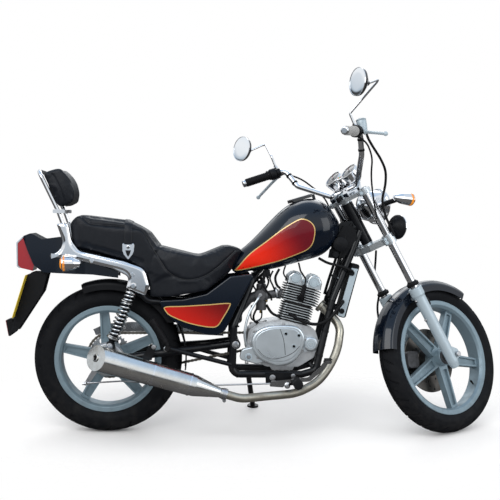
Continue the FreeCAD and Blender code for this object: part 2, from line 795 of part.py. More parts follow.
def shock_absorbers():
    """Both shock absorbers: eyes, damper bodies and rods."""
    dampers = []
    for side in SIDES:
        foot = at(val("shock_foot_x"), val("shock_foot_z"), side * val("shock_middle"))
        top = at(val("shock_top_x"), val("shock_top_z"), side * val("shock_middle"))
        axis = (top - foot).normalize()
        length = top.distanceToPoint(foot)
        cap = val("spring_radius")
        damper = turned_solid([(0, 0), (0, 10), (20, 11), (24, 17, 2), (30, cap, 2), (36, cap, 2), (36, 16), (100, 16),
                               (100, 7), (length - 34, 7), (length - 34, cap, 2), (length - 28, cap, 2),
                               (length - 22, 15, 2), (length - 16, 11), (length, 10), (length, 0)], foot, axis)
        eyes = [rod(end + Vector(0, -15, 0), end + Vector(0, 15, 0), 14) for end in (foot, top)]
        dampers.append(joined([damper] + eyes))
    return dampers


def shock_springs():
    """The coil springs around the dampers."""
    springs = []
    radius = val("spring_radius") - val("spring_wire")
    for side in SIDES:
        foot = at(val("shock_foot_x"), val("shock_foot_z"), side * val("shock_middle"))
        top = at(val("shock_top_x"), val("shock_top_z"), side * val("shock_middle"))
        wire = val("spring_wire")
        length = top.distanceToPoint(foot) - 70 - 2 * wire - 1
        helix = Part.makeHelix(length / val("spring_turns"), length, radius)
        section = Part.Wire(Part.makeCircle(wire, Vector(radius, 0, 0), Y_AXIS))
        spring = Part.Wire(helix).makePipeShell([section], True, True)
        axis = (top - foot).normalize()
        spring.Placement = Placement(foot + axis * (36 + wire + 0.5), Rotation(Z_AXIS, axis))
        springs.append(spring)
    return springs


rise(group("shock_absorbers", shock_absorbers() + shock_springs()))


# Body work

def station(x, bottom, top, half, power=2.4, count=24):
    """A closed cross-section at one place along the motorcycle, between a flat circle and a square."""
    points = []
    middle = (bottom + top) / 2
    height = (top - bottom) / 2
    for index in range(count):
        angle = 2 * math.pi * index / count
        c, s = math.cos(angle), math.sin(angle)
        points.append(Vector(x, half * math.copysign(abs(c) ** (2 / power), c),
                             middle + height * math.copysign(abs(s) ** (2 / power), s)))
    curve = Part.BSplineCurve()
    curve.interpolate(points, PeriodicFlag=True)
    return Part.Wire(curve.toShape())


TANK_STATIONS = [
    # how far forward, bottom, top, share of the widest half
    (500, 648, 712, 0.30), (560, 651, 766, 0.50), (640, 662, 848, 0.76), (720, 681, 924, 0.94),
    (800, 704, 956, 1.00), (860, 724, 946, 0.94), (905, 764, 908, 0.72), (932, 812, 868, 0.34)]


def tank_body(growth=0.0):
    """The teardrop form of the tank, grown evenly where its neighbours need room."""
    widest = val("tank_half")
    ends = {TANK_STATIONS[0][0]: -growth, TANK_STATIONS[-1][0]: growth}
    sections = [station(x + ends.get(x, 0), bottom - growth, top + growth, widest * share + growth)
                for x, bottom, top, share in TANK_STATIONS]
    return Part.makeLoft(sections, True, False)


def fuel_tank():
    """The teardrop tank, with the tunnel over the backbone and the recess for the cap."""
    tunnel = prism([(480, 600), (480, 690), (640, 732, 60), (880, 836, 60), (960, 872), (960, 600)], 60)
    tank = tank_body().cut(tunnel)
    seat_of_cap = rod(CAP_SEAT - CAP_UP * 26, CAP_SEAT + CAP_UP * 40, 34)
    hinge = [rod(CAP_HINGE + Vector(0, -HINGE_CHEEK[1], 0), CAP_HINGE + Vector(0, HINGE_CHEEK[1], 0), HINGE_PIN)]
    for side in SIDES:
        cheek = prism([(CAP_HINGE.x - 4, -20), (CAP_HINGE.x - 4, CAP_HINGE.z + 4, 3.5),
                       (CAP_HINGE.x + 4, CAP_HINGE.z + 4, 3.5), (CAP_HINGE.x + 4, -20)],
                      HINGE_CHEEK[1] - HINGE_CHEEK[0], side * (HINGE_CHEEK[0] + HINGE_CHEEK[1]) / 2)
        hinge.append(cheek)
    hinge = joined(hinge)
    hinge.Placement = CAP_FRAME
    return feature("fuel_tank", joined([tank.cut(seat_of_cap), hinge]))


CAP_SEAT = at(778, 944)
CAP_UP = Vector(-math.sin(math.radians(17)), 0, math.cos(math.radians(17)))
CAP_FRAME = Placement(CAP_SEAT, Rotation(Y_AXIS, -17))
CAP_HINGE = Vector(val("cap_length") / 2 + 4, 0, 10)
HINGE_PIN = 2.5
HINGE_CHEEK = (13.0, 19.0)
rise(fuel_tank())


def fuel_cap():
    """The flat lid over the filler, hinged at its front edge."""
    length = val("cap_length")
    thick = val("cap_thick")
    lid = slab([(-length / 2, -34, 22), (-length / 2, 34, 22), (length / 2, 30, 12), (length / 2, -30, 12)], 6, thick)
    lid = lid.makeFillet(3, [edge for edge in lid.Edges if edge.BoundBox.ZMin > thick + 5.9])
    knuckle_half = HINGE_CHEEK[0] - 1
    knuckle = rod(CAP_HINGE + Vector(0, -knuckle_half, 0), CAP_HINGE + Vector(0, knuckle_half, 0), 5)
    arm = slab([(CAP_HINGE.x - 10, -knuckle_half), (CAP_HINGE.x - 10, knuckle_half), (CAP_HINGE.x, knuckle_half),
                (CAP_HINGE.x, -knuckle_half)], 7, 8)
    cuts = [rod(CAP_HINGE + Vector(0, -30, 0), CAP_HINGE + Vector(0, 30, 0), HINGE_PIN + val("bearing_gap"))]
    for side in SIDES:
        cuts.append(rod(CAP_HINGE + Vector(0, side * (HINGE_CHEEK[0] - 1), 0),
                        CAP_HINGE + Vector(0, side * (HINGE_CHEEK[1] + 2), 0), 9))
    return feature("fuel_cap", joined([lid, knuckle, arm]).cut(cuts))


rise(fuel_cap(), CAP_FRAME)


def seat():
    """The stepped seat: its side outline met by its plan outline, with soft upper edges."""
    side = [(-157, 846, 20), (-128, 876, 20), (103, 850, 40), (150, 826, 30), (205, 752, 40), (365, 713, 80),
            (480, 764, 30), (541, 749, 10), (483, 652, 30), (394, 583, 60), (246, 556, 30), (166, 552, 14),
            (166, 622, 50), (115, 682, 50), (-51, 730), (-141, 752, 20)]
    half = val("seat_half")
    pillion = val("pillion_half")
    plan = [(-170, -pillion, 50), (180, -pillion, 50), (265, -half, 50), (370, -half, 80), (560, -40, 30),
            (560, 40, 30), (370, half, 80), (265, half, 50), (180, pillion, 50), (-170, pillion, 50)]
    seat_solid = prism(side, 2 * half + 20).common(slab(plan, 500, 420))
    fender_reach = Vector(0, val("rear_fender_half") + 2, 0)
    over_fender = rod(REAR_AXLE - fender_reach, REAR_AXLE + fender_reach, val("rear_tyre_radius") + val("rear_fender_gap") + 4)
    return feature("seat", seat_solid.cut([over_fender, tank_body(1.0)]))


rise(seat())


def seat_strap():
    """The grab strap over the seat with a buckle plate at each end."""
    half = val("pillion_half")
    gap = val("seat_gap")
    strap = prism([(64, 862.5), (96, 858.5), (96, 755), (64, 755)], 2 * (half + gap + 3))
    inner = prism([(60, 858.3), (100, 853.4), (100, 700), (60, 700)], 2 * (half + gap))
    band = strap.cut(inner)
    buckles = []
    for side in SIDES:
        shield = prism([(58, 760, 4), (103, 760, 4), (103, 735, 8), (80, 706, 8), (58, 735, 8)], 4,
                       side * (half + gap + 2))
        buckles.append(shield)
    return feature("seat_strap", joined([band] + buckles))


rise(seat_strap())


def side_struts():
    """The chrome struts beside the seat, from the backrest to the shock absorbers."""
    outline = [(-228, 713, 6), (-196, 731, 20), (-178, 750, 30), (-176, 776, 60), (-199, 842, 4), (-154, 842, 4),
               (-141, 776, 60), (-110, 735, 40), (-40, 720), (64, 697, 60), (148, 668, 50), (166, 600, 30),
               (151, 561, 6), (74, 589, 6), (86, 636, 22), (20, 668, 60), (-115, 699, 60)]
    middle = val("strut_inner") + val("strut_thick") / 2
    solids = []
    for side in SIDES:
        strut = prism(outline, val("strut_thick"), side * middle)
        outer_y = side * (val("strut_inner") + val("strut_thick"))
        rim = [edge for edge in strut.Edges
               if abs(edge.BoundBox.YMin - outer_y) < 0.01 and abs(edge.BoundBox.YMax - outer_y) < 0.01]
        strut = strut.makeFillet(5, rim)
        foot = at(val("shock_foot_x"), val("shock_foot_z"), side * val("shock_middle"))
        top = at(val("shock_top_x"), val("shock_top_z"), side * val("shock_middle"))
        axis = (top - foot).normalize()
        pocket_hole = rod(foot, top + axis * 14, 15.5 + 0.3)
        spring_cap = rod(top - axis * 60, top - axis * 18, val("spring_radius") + 1)
        eye_room = rod(top + Vector(0, -15.3, 0), top + Vector(0, 15.3, 0), 14.3)
        solids.append(strut.cut([pocket_hole, spring_cap, eye_room]))
    return group("side_struts", solids)


rise(side_struts())


def backrest_frame():
    """The chrome hoop behind the pad and its two clamps on the struts."""
    y = val("strut_inner") + val("strut_thick") / 2 - 7
    hoop = bent_tube([at(-174, 834, -y), at(-196, 893, -y), at(-272, 1048, -y), at(-272, 1048, y),
                      at(-196, 893, y), at(-174, 834, y)], 8, 30)
    strut_top = 842 + val("seat_gap")
    below = prism([(-260, 760), (-260, strut_top), (-100, strut_top), (-100, 760)], 400)
    clamps = [prism([(-215, 884, 3), (-215, 898, 3), (-168, 898, 3), (-168, 884, 3)], 22, side * y) for side in SIDES]
    return feature("backrest_frame", joined([hoop] + clamps).cut(below))


rise(backrest_frame())


def backrest_pad():
    """The padded rest: its side outline as wide as the rider's back."""
    outline = [(-256, 1040, 8), (-190, 1063, 14), (-152, 1024, 60), (-131, 966, 40), (-138, 927, 10), (-192.5, 906, 8)]
    body = plate("backrest_pad", outline, "2 * Sizes.pad_half")
    return body


rise(backrest_pad())


def tail():
    """The painted tail behind the seat: a shell, open below, from its side and plan outlines."""
    side = [(-342, 790, 6), (-308, 803, 12), (-263, 779, 20), (-186, 790, 10), (-150, 730, 20), (-60, 700, 30),
            (40, 664, 20), (40, 628), (-60, 640), (-256, 647.5, 2), (-296, 676, 4), (-320, 730, 4)]
    half = val("tail_half")
    front = val("rail_half") - val("rail_tube") - val("seat_gap")
    plan = [(-342, -60, 20), (-200, -half, 60), (-130, -half, 20), (-90, -front, 20), (60, -front, 10),
            (60, front, 10), (-90, front, 20), (-130, half, 20), (-200, half, 60), (-342, 60, 20)]
    outer = prism(side, 2 * half + 10).common(slab(plan, 560, 300))
    wall = 4.0
    inner_side = [(-330, 782), (-306, 790), (-262, 772), (-196, 780), (-156, 722), (-62, 694), (36, 656), (60, 600),
                  (-60, 600), (-236, 600), (-240, 646), (-282, 676), (-308, 730)]
    inner_plan = [(-330, -54), (-200, -half + wall), (-130, -half + wall), (-90, -front + wall), (60, -front + wall),
                  (60, front - wall), (-90, front - wall), (-130, half - wall), (-200, half - wall), (-330, 54)]
    inner = prism(inner_side, 2 * half).common(slab(inner_plan, 560, 300))
    return feature("tail", outer.cut(inner))


rise(tail())


def rear_fender():
    """The black inner fender that arches over the rear tyre."""
    inner = val("rear_tyre_radius") + val("rear_fender_gap")
    outer = inner + 3
    half = val("rear_fender_half")
    section = [(-half, inner - 34), (-half, inner - 6, 12), (-half + 22, outer), (half - 22, outer),
               (half, inner - 6, 12), (half, inner - 34), (half - 3, inner - 34), (half - 3, inner - 7, 10),
               (half - 23, inner), (-half + 23, inner), (-half + 3, inner - 7, 10), (-half + 3, inner - 34)]
    face = outline_face(section)
    face.rotate(Vector(), Vector(1, 1, 1), 120)
    arch = face.revolve(Vector(), Y_AXIS, 118)
    arch.Placement = Placement(REAR_AXLE, Rotation(Y_AXIS, -20))
    beside_arms = [prism([(200, 200), (200, 450), (400, 450), (400, 200)], half, side * (60 + half / 2)) for side in SIDES]
    return feature("rear_fender", arch.cut(beside_arms))


rise(rear_fender())


# Tail pieces

def tail_lamp():
    """The red lamp behind the tail, ribbed across."""
    outline = [(-340.8, 786), (-364, 764, 8), (-361, 672, 8), (-352, 664, 6), (-301, 652), (-296.3, 675.9), (-320.3, 729.9)]
    return feature("tail_lamp", prism(outline, 116))


rise(tail_lamp())


def plate_bracket():
    """The black bracket below the tail, with its reflector block."""
    outer = [(-322, 632, 6), (-304, 646.8), (-242, 646.6, 3), (-262, 567, 20), (-366, 404, 10), (-388, 408, 6),
             (-376, 452)]
    inner = [(-312, 626), (-298, 640), (-230, 640), (-250, 560), (-360, 392), (-372, 404), (-366, 452)]
    half = 56
    shell = prism(outer, 2 * half).cut(prism(inner, 2 * half - 8))
    block = prism([(-408, 452, 5), (-384, 458, 5), (-372, 402, 5), (-396, 384, 5)], 2 * half - 30)
    return feature("plate_bracket", joined([shell, block]))


rise(plate_bracket())


def number_plate():
    """The blank plate on its bracket."""
    tilt = math.degrees(math.atan2(632 - 452, -322 + 376))
    plate_solid = slab([(-89, -114, 10), (89, -114, 10), (89, 114, 10), (-89, 114, 10)], 0.4, 2)
    node = feature("number_plate", plate_solid)
    middle = at(-346.3, 551)
    return rise(node, Placement(middle, Rotation(Y_AXIS, -tilt)))


number_plate()


def bullet(base, direction, radius, length):
    """A bullet-shaped lamp housing with its lens, pointing along a direction."""
    return turned_solid([(-length * 0.55, 0), (-length * 0.5, radius * 0.45, 6), (-length * 0.2, radius * 0.86, 20),
                         (length * 0.25, radius, 6), (length * 0.3, radius), (length * 0.3, radius - 2),
                         (length * 0.42, radius * 0.6, 10), (length * 0.45, 0)], base, direction)


REAR_SIGNAL = at(-142, 689, 190)


def rear_turn_signals():
    """The rear turn signals on their stalks beside the struts."""
    solids = []
    for side in SIDES:
        middle = Vector(REAR_SIGNAL.x, side * REAR_SIGNAL.y, REAR_SIGNAL.z)
        lamp = bullet(middle, -X_AXIS, val("signal_radius"), val("signal_length"))
        strut_face = val("strut_inner") + val("strut_thick") + val("seat_gap")
        stalk = rod(Vector(middle.x + 14, side * (strut_face - 8), 711), middle + Vector(14, 0, 8), 7)
        between = prism([(-300, 600), (-300, 800), (0, 800), (0, 600)], 2 * strut_face)
        solids.append(joined([lamp, stalk]).cut(between))
    return group("rear_turn_signals", solids)


rise(rear_turn_signals())


def side_panels():
    """The black panels below the seat."""
    outline = [(203, 541, 8), (300, 547, 40), (394, 570, 40), (486, 640, 20), (588, 652, 12), (560, 600, 30),
               (522, 530, 10), (470, 424, 16), (440, 404, 20), (400, 404, 60), (300, 434, 50), (232, 482, 14)]
    solids = []
    middle = val("panel_inner") + val("panel_thick") / 2
    for side in SIDES:
        panel = prism(outline, val("panel_thick"), side * middle)
        outer_y = side * (val("panel_inner") + val("panel_thick"))
        rim = [edge for edge in panel.Edges
               if abs(edge.BoundBox.YMin - outer_y) < 0.01 and abs(edge.BoundBox.YMax - outer_y) < 0.01]
        solids.append(panel.makeFillet(6, rim))
    return group("side_panels", solids)


rise(side_panels())


def air_box():
    """The battery and air filter box between the side panels."""
    outline = [(352, 516, 10), (484, 516, 10), (484, 440, 10), (440, 420, 20), (352, 440, 10)]
    body = plate("air_box", outline, "2 * Sizes.cradle_half - 2 * Sizes.frame_tube - 4")
    snout = outline_sketch(body, "air_box_snout", "XZ_Plane", [(460, 516, 4), (540, 516, 16), (540, 446, 16), (460, 446, 4)])
    pad(body, "air_box_outlet", snout, "2 * Sizes.air_snout_half")
    return body


rise(air_box())


# Engine

def crankcase():
    """The crankcase with its front mounting lug, the cylinder seat and the drive sprocket."""
    half = val("engine_half")
    deck_slope = math.tan(math.radians(val("cylinder_tilt")))
    deck_front = val("cylinder_z") - val("seat_gap") - 54 * deck_slope
    deck_rear = val("cylinder_z") - val("seat_gap") + 54 * deck_slope
    case = prism([(556, 345, 20), (578, 302, 16), (640, 274, 30), (770, 274, 30), (832, 312, 20), (852, 372, 30),
                  (836, 424, 20), (val("cylinder_x") + 54, deck_front, 8), (val("cylinder_x") - 54, deck_rear, 8),
                  (612, 452, 20), (566, 420, 20)], 2 * half)
    chain_room = rod(Vector(DRIVE_AXIS.x, half - 18, DRIVE_AXIS.z), Vector(DRIVE_AXIS.x, half + 2, DRIVE_AXIS.z), 45)
    chain_exit = prism([(540, 415), (590, 415), (590, 300), (540, 300)], 20, half - 8)
    case = case.cut([chain_room, chain_exit])
    lug = prism([(826, 340), (862, 344, 6), (868, 369, 6), (840, 380)], 2 * half - 10.4)
    shaft = rod(Vector(DRIVE_AXIS.x, half - 20, DRIVE_AXIS.z),
                Vector(DRIVE_AXIS.x, val("chain_middle") + 8, DRIVE_AXIS.z), 9)
    wheel = rod(Vector(DRIVE_AXIS.x, val("chain_middle") - 3, DRIVE_AXIS.z),
                Vector(DRIVE_AXIS.x, val("chain_middle") + 3, DRIVE_AXIS.z), val("drive_radius") - 6)
    sump = prism([(650, 280), (760, 280), (748, 256, 10), (664, 256, 10)], 100)
    return feature("crankcase", joined([case, lug, shaft, wheel, sump]))


rise(crankcase())


def engine_cover(outline, side, depth):
    """A rounded cover on one side of the crankcase."""
    inner = val("engine_half") + val("seat_gap")
    cover = prism(outline, depth, side * (inner + depth / 2))
    outer_y = side * (inner + depth)
    rim = [edge for edge in cover.Edges
           if abs(edge.BoundBox.YMin - outer_y) < 0.01 and abs(edge.BoundBox.YMax - outer_y) < 0.01]
    return cover.makeFillet(9, rim)


def smooth_outline(points):
    """A flat face inside one smooth closed curve through the points."""
    curve = Part.BSplineCurve()
    curve.interpolate([Vector(x, y) for x, y in points], PeriodicFlag=True)
    return Part.Face(Part.Wire(curve.toShape()))


def softened(face, side, inner, depth, radius):
    """A face of (x, z) points raised sideways to a cover, its outer rim rounded."""
    face.rotate(Vector(), X_AXIS, 90)
    face.translate(Vector(0, side * inner, 0))
    cover = face.extrude(Vector(0, side * depth, 0))
    outer_y = side * (inner + depth)
    rim = [edge for edge in cover.Edges
           if abs(edge.BoundBox.YMin - outer_y) < 0.01 and abs(edge.BoundBox.YMax - outer_y) < 0.01]
    return cover.makeFillet(radius, rim)


def clutch_cover():
    """The right cover: an oval over the clutch with a raised step, a lower lobe, and a round cap in front."""
    depth = val("cover_depth")
    inner = val("engine_half") + val("seat_gap")
    oval = smooth_outline([(576, 368), (592, 416), (640, 441), (706, 446), (768, 434), (791, 388), (780, 346),
                           (752, 304), (712, 284), (652, 288), (602, 314)])
    cover = softened(oval, RIGHT, inner, depth, 9)
    lobe = softened(outline_face([(528, 306, 14), (536, 346, 16), (600, 362, 10), (640, 300, 10), (600, 286, 20)]),
                    RIGHT, inner, depth - 12, 5)
    step = softened(smooth_outline([(590, 368), (604, 408), (644, 430), (706, 434), (758, 424), (776, 386), (766, 346),
                                    (744, 318), (706, 302), (652, 304), (612, 326)]), RIGHT, inner + depth - 1, 4, 2.5)
    cap = turned_solid([(0, 0), (0, 30), (20, 30, 5), (26, 23, 3), (26, 0)], at(816, 368, -inner), Vector(0, -1, 0))
    web = prism([(770, 400), (798, 400, 12), (820, 394), (820, 342), (790, 336)], 18, -inner - 9)
    return feature("clutch_cover", joined([cover, lobe, step, cap, web]))


rise(clutch_cover())


def generator_cover():
    """The round left cover."""
    outline = [(638, 372, 40), (650, 436, 40), (720, 446, 60), (800, 432, 46), (820, 372, 50), (780, 304, 40),
               (706, 292, 40), (652, 306, 30)]
    return feature("generator_cover", engine_cover(outline, LEFT, val("cover_depth") - 12))


rise(generator_cover())


def finned_block(label, bottom, height, core, fin_length, fin_width, count):
    """A barrel core with a stack of cooling fins, in the cylinder's own frame."""
    body = new_body(label)
    half_x, half_y = core
    core_sketch = outline_sketch(body, label + "Core", "XY_Plane", [
        (-half_x, -half_y, 20), (half_x, -half_y, 20), (half_x, half_y, 20), (-half_x, half_y, 20)], offset=bottom)
    barrel = body.newObject("PartDesign::Pad", label + "Barrel")
    barrel.Profile = core_sketch
    barrel.Length = height
    fin_sketch = outline_sketch(body, label + "FinOutline", "XY_Plane", [
        (-fin_length / 2, -fin_width / 2, 18), (fin_length / 2, -fin_width / 2, 18),
        (fin_length / 2, fin_width / 2, 18), (-fin_length / 2, fin_width / 2, 18)], offset=bottom + 6)
    fin = pad(body, label + "Fin", fin_sketch, "Sizes.fin_thick", symmetric=False)
    fins = body.newObject("PartDesign::LinearPattern", label + "Fins")
    fins.Originals = [fin]
    fins.Direction = (fin_sketch, ["N_Axis"])
    fins.Mode = "Spacing"
    fins.setExpression("Offset", "Sizes.fin_pitch")
    fins.setExpression("Occurrences", count)
    body.Tip = fins
    return body


CYLINDER_HEIGHT = 6 + val("fin_pitch") * val("fin_count")
HEAD_HEIGHT = 6 + val("fin_pitch") * val("head_fin_count")

# Where the plug stands in the head: its height, and how deep its well goes from the middle
PLUG_HEIGHT = CYLINDER_HEIGHT + 26
PLUG_DEPTH = 57.0

rise(finned_block("cylinder", 0, CYLINDER_HEIGHT, (46, 50), 128, 132, "Sizes.fin_count"), CYLINDER_FRAME)


def cylinder_head():
    """The finned head with the well for the plug cut through its fins on the right."""
    body = finned_block("cylinder_head", CYLINDER_HEIGHT + 0.3, HEAD_HEIGHT, (52, 56), 152, 140, "Sizes.head_fin_count")
    doc.recompute()
    well = new_sketch(body, "cylinder_head_well", "XZ_Plane", offset=PLUG_DEPTH - 0.5)
    well.addGeometry(Part.Circle(Vector(0, PLUG_HEIGHT), Z_AXIS, 21), False)
    pocket(body, "cylinder_head_plug_well", well, "Sizes.plug_well", backward=True)
    return body


rise(cylinder_head(), CYLINDER_FRAME)


def cam_covers():
    """The two humped covers on top of the head."""
    base = CYLINDER_HEIGHT + HEAD_HEIGHT + 0.6
    bridge = prism([(-60, base, 2), (-60, base + 16, 4), (62, base + 16, 4), (62, base, 2)], 104)
    humps = [bridge]
    for outline in ([(-69, base), (-70, base + 26, 8), (-54, base + 46, 9), (-18, base + 46, 9), (-7, base + 26, 8),
                     (-6, base)],
                    [(8, base), (9, base + 32, 8), (18, base + 52, 9), (52, base + 52, 9), (70, base + 30, 8),
                     (72, base)]):
        width = 120
        hump = prism(outline, width)
        rims = [edge for edge in hump.Edges
                if edge.BoundBox.YLength < 0.01 and edge.BoundBox.ZMax > base + 1]
        humps.append(hump.makeFillet(7, rims))
        middle = (outline[2][0] + outline[3][0]) / 2
        humps.append(prism([(middle - 4, base + 8), (middle - 3, base + 49), (middle + 3, base + 49),
                            (middle + 4, base + 8)], width + 4))
    return feature("cam_covers", joined(humps))


rise(cam_covers(), CYLINDER_FRAME)


def carburettor():
    """The carburettor, its rubber intake and the hose to the air box."""
    middle = at(618, 556, -24)
    port = CYLINDER_FRAME.multVec(Vector(-76.3, -24, CYLINDER_HEIGHT + 22))
    collar_end = CYLINDER_FRAME.multVec(Vector(-88, -24, CYLINDER_HEIGHT + 22))
    intake = joined([rod(middle, collar_end, 17), rod(port, collar_end, 22)])
    body = turned_solid([(-26, 0), (-26, 26, 3), (26, 26, 3), (26, 0)], middle, X_AXIS)
    bowl = rod(middle + Vector(0, 0, -48), middle, 21)
    dome = turned_solid([(0, 0), (0, 20), (34, 20, 6), (40, 12, 4), (40, 0)], middle + Vector(0, 0, 14), Z_AXIS)
    hose = bent_tube([middle - Vector(20, 0, 0), middle - Vector(50, 0, 10), at(520, 488, -24)], 20, 30)
    in_air_box = prism([(500, 400), (500, 600), (540.3, 600), (540.3, 400)], 200)
    return feature("carburettor", joined([intake, body, bowl, dome, hose]).cut(in_air_box))


rise(carburettor())


def oil_cooler():
    """The flat panel in front of the down tubes."""
    outline = [(989, 694, 4), (1018, 690, 10), (961, 470, 10), (929, 478, 8)]
    tabs = [prism([(909.8, 520), (950, 520), (950, 504), (906.0, 504)], 5, side * 56) for side in SIDES]
    return feature("oil_cooler", joined([prism(outline, 118)] + tabs))


rise(oil_cooler())


OIL_RETURN = [at(733, 488, -66.3), at(733, 488, -86), at(786, 456, -92), at(842, 446, -98), at(890, 470, -102),
              at(932, 522, -92), at(948, 540, -84), at(948, 540, -59.3)]
OIL_FEED = [at(850, 714, -42), at(886, 694, -56), at(940, 684, -74), at(984, 664, -82), at(984, 664, -59.3)]
BREATHER = [at(606, 556, -50.4), at(606, 556, -76), at(562, 488, -92), at(546, 410, -96), at(555, 362, -90)]


def engine_pipes():
    """The bright oil pipe round the engine's front, the hose that feeds the cooler, and the breather tube."""
    return group("engine_pipes", [cable(OIL_RETURN, 6.5), cable(OIL_FEED, 5.5), cable(BREATHER, 5)])


rise(engine_pipes())


def spark_lead():
    """The plug cap on the right of the head and its lead to the frame."""
    cap_start = CYLINDER_FRAME.multVec(Vector(0, -PLUG_DEPTH, PLUG_HEIGHT))
    boot = rod(cap_start, cap_start + Vector(0, -14, 0), 13)
    cap = bent_tube([cap_start + Vector(0, -10, 0), cap_start + Vector(2, -34, 8), cap_start + Vector(12, -38, 56)], 9, 14)
    lead = bent_tube([cap_start + Vector(12, -38, 56), cap_start + Vector(16, -38, 80), cap_start + Vector(-4, -16, 112),
                      cap_start + Vector(-8, 18, 142)], 3.5, 24)
    return feature("spark_lead", joined([boot, cap, lead]))


rise(spark_lead())


# Exhaust

MUFFLER_FRONT = at(476, 179, -val("muffler_middle") + 6)
MUFFLER_REAR = at(-35, 323, -val("muffler_middle") - 4)


def exhaust_pipe():
    """The header pipe from the front of the head, down and back under the engine."""
    port = CYLINDER_FRAME.multVec(Vector(84.5, -30, CYLINDER_HEIGHT + 18))
    along = (MUFFLER_FRONT - MUFFLER_REAR).normalize()
    points = [port, at(900, 486, -34), at(942, 436, -56), at(928, 350, -86), at(896, 284, -106), at(846, 220, -124),
              at(760, 176, -140), at(640, 168, -156), MUFFLER_FRONT + along * 60, MUFFLER_FRONT + along * 0.3]
    pipe = cable(points, val("pipe_radius"))
    flange = rod(port, port + (points[1] - points[0]).normalize() * 10, 26)
    return feature("exhaust_pipe", joined([pipe, flange]))


rise(exhaust_pipe())


def muffler():
    """The muffler: a cone and a long slightly widening body, cut on the slant at its end."""
    axis = (MUFFLER_REAR - MUFFLER_FRONT).normalize()
    length = MUFFLER_REAR.distanceToPoint(MUFFLER_FRONT)
    radius = val("muffler_radius")
    pipe = val("pipe_radius")
    body = turned_solid([(0, 0), (0, pipe + 4), (26, pipe + 4), (28, pipe + 2), (130, radius - 8, 40),
                         (150, radius - 7), (154, radius - 6), (length + 70, radius + 2), (length + 70, 0)],
                        MUFFLER_FRONT, axis)
    normal = Rotation(Z_AXIS, 37).multVec(axis)
    knife = Part.makeBox(300, 300, 300, Vector(-150, -150, 0))
    knife.Placement = Placement(MUFFLER_REAR, Rotation(Z_AXIS, normal))
    outlet = rod(MUFFLER_REAR - axis * 60, MUFFLER_REAR + axis * 60, 12)
    return feature("muffler", body.cut([knife, outlet]))


rise(muffler())


# Foot controls

PEG_X, PEG_Z = 754, 224


def peg_hanger(side):
    """The plate on the cradle rail with the rider's peg."""
    inner = val("cradle_half") + val("frame_tube") + val("seat_gap")
    hanger = prism([(624, 254, 8), (744, 254, 8), (772, 232, 12), (768, 206, 12), (730, 204, 10), (640, 218, 10)], 7,
                   side * (inner + 3.5))
    start = at(PEG_X, PEG_Z, side * (inner + 5))
    end = at(PEG_X, PEG_Z, side * (inner + 112))
    peg = turned_solid([(0, 0), (0, 10), (18, 10), (18, 15, 3), (107, 15, 5), (107, 0)], start, end - start)
    return joined([hanger, peg])


def foot_controls_right():
    """The right peg with the brake pedal."""
    inner = val("cradle_half") + val("frame_tube") + val("seat_gap")
    pivot = at(716, 212, -inner - 4)
    arm_y = -163
    shaft = rod(pivot, at(716, 212, arm_y - 5), 8)
    arm = prism([(704, 222, 8), (728, 222, 10), (806, 228, 20), (866, 280, 20), (880, 306, 4), (862, 306, 4),
                 (846, 286, 20), (800, 244, 20), (724, 236), (650, 228, 4), (646, 208, 4), (704, 204, 8)], 8, arm_y)
    tread = prism([(858, 304, 3), (884, 304, 3), (890, 318, 4), (864, 318, 4)], 52, arm_y - 18)
    return feature("foot_controls_right", joined([peg_hanger(RIGHT), shaft, arm, tread]))


def foot_controls_left():
    """The left peg with the gear lever."""
    arm_y = val("cradle_half") + val("frame_tube") + 14
    shaft = rod(at(700, 318, val("engine_half") + 29), at(700, 318, arm_y + 5), 8)
    arm = prism([(688, 326, 10), (712, 330, 10), (800, 322, 20), (860, 302, 6), (860, 284, 6), (800, 302, 20),
                 (712, 306, 8), (688, 306, 8)], 8, arm_y)
    toe = rod(at(852, 293, arm_y), at(852, 293, arm_y + 48), 10)
    lever = joined([shaft, arm, toe])
    return group("foot_controls_left", [peg_hanger(LEFT), lever])


rise(foot_controls_right())
rise(foot_controls_left())


def pillion_pegs():
    """The passenger's pegs, folded up, on their knuckles at the ends of the frame's rear tubes."""
    solids = []
    for side in SIDES:
        end = Vector(PEG_RAIL.x, side * PEG_RAIL.y, PEG_RAIL.z)
        along = (end - at(500, 284, side * (val("cradle_half") + 5))).normalize()
        cup = turned_solid([(0.3, 0), (0.3, 12, 3), (16, 14, 4), (26, 9, 4), (26, 0)], end, along)
        knuckle = end + along * 14
        hinge = rod(knuckle + Vector(0, side * -8, 0), knuckle + Vector(0, side * 22, 0), 10)
        start = Vector(knuckle.x + 2, side * 142, knuckle.z + 12)
        tip = at(173, 471, side * 142)
        peg = turned_solid([(0, 0), (0, 8), (14, 9), (14, 13, 3), (96, 13, 5), (96, 0)], start, tip - start)
        solids.append(joined([cup, hinge, peg, rod(knuckle + Vector(0, side * 12, 0), start, 9)]))
    return group("pillion_pegs", solids)


rise(pillion_pegs())


# Side stand

STAND_PIVOT = at(val("stand_x"), val("stand_z"), val("stand_y"))
GROUND_UP = LEAN.inverted().multVec(Z_AXIS)
FOOT_ON_GROUND = STAND_POSE.inverse().multVec(Vector(val("stand_foot_x"), val("stand_foot_y"), 0))
STAND_LEG = FOOT_ON_GROUND + GROUND_UP * val("foot_thick") - STAND_PIVOT
STAND_STOWED = Vector(-0.98, 0.12, -0.05)
STAND_AXIS = STAND_LEG.cross(STAND_STOWED).normalize()
EYE_HALF = 8.0
PIN_RADIUS = 6.0


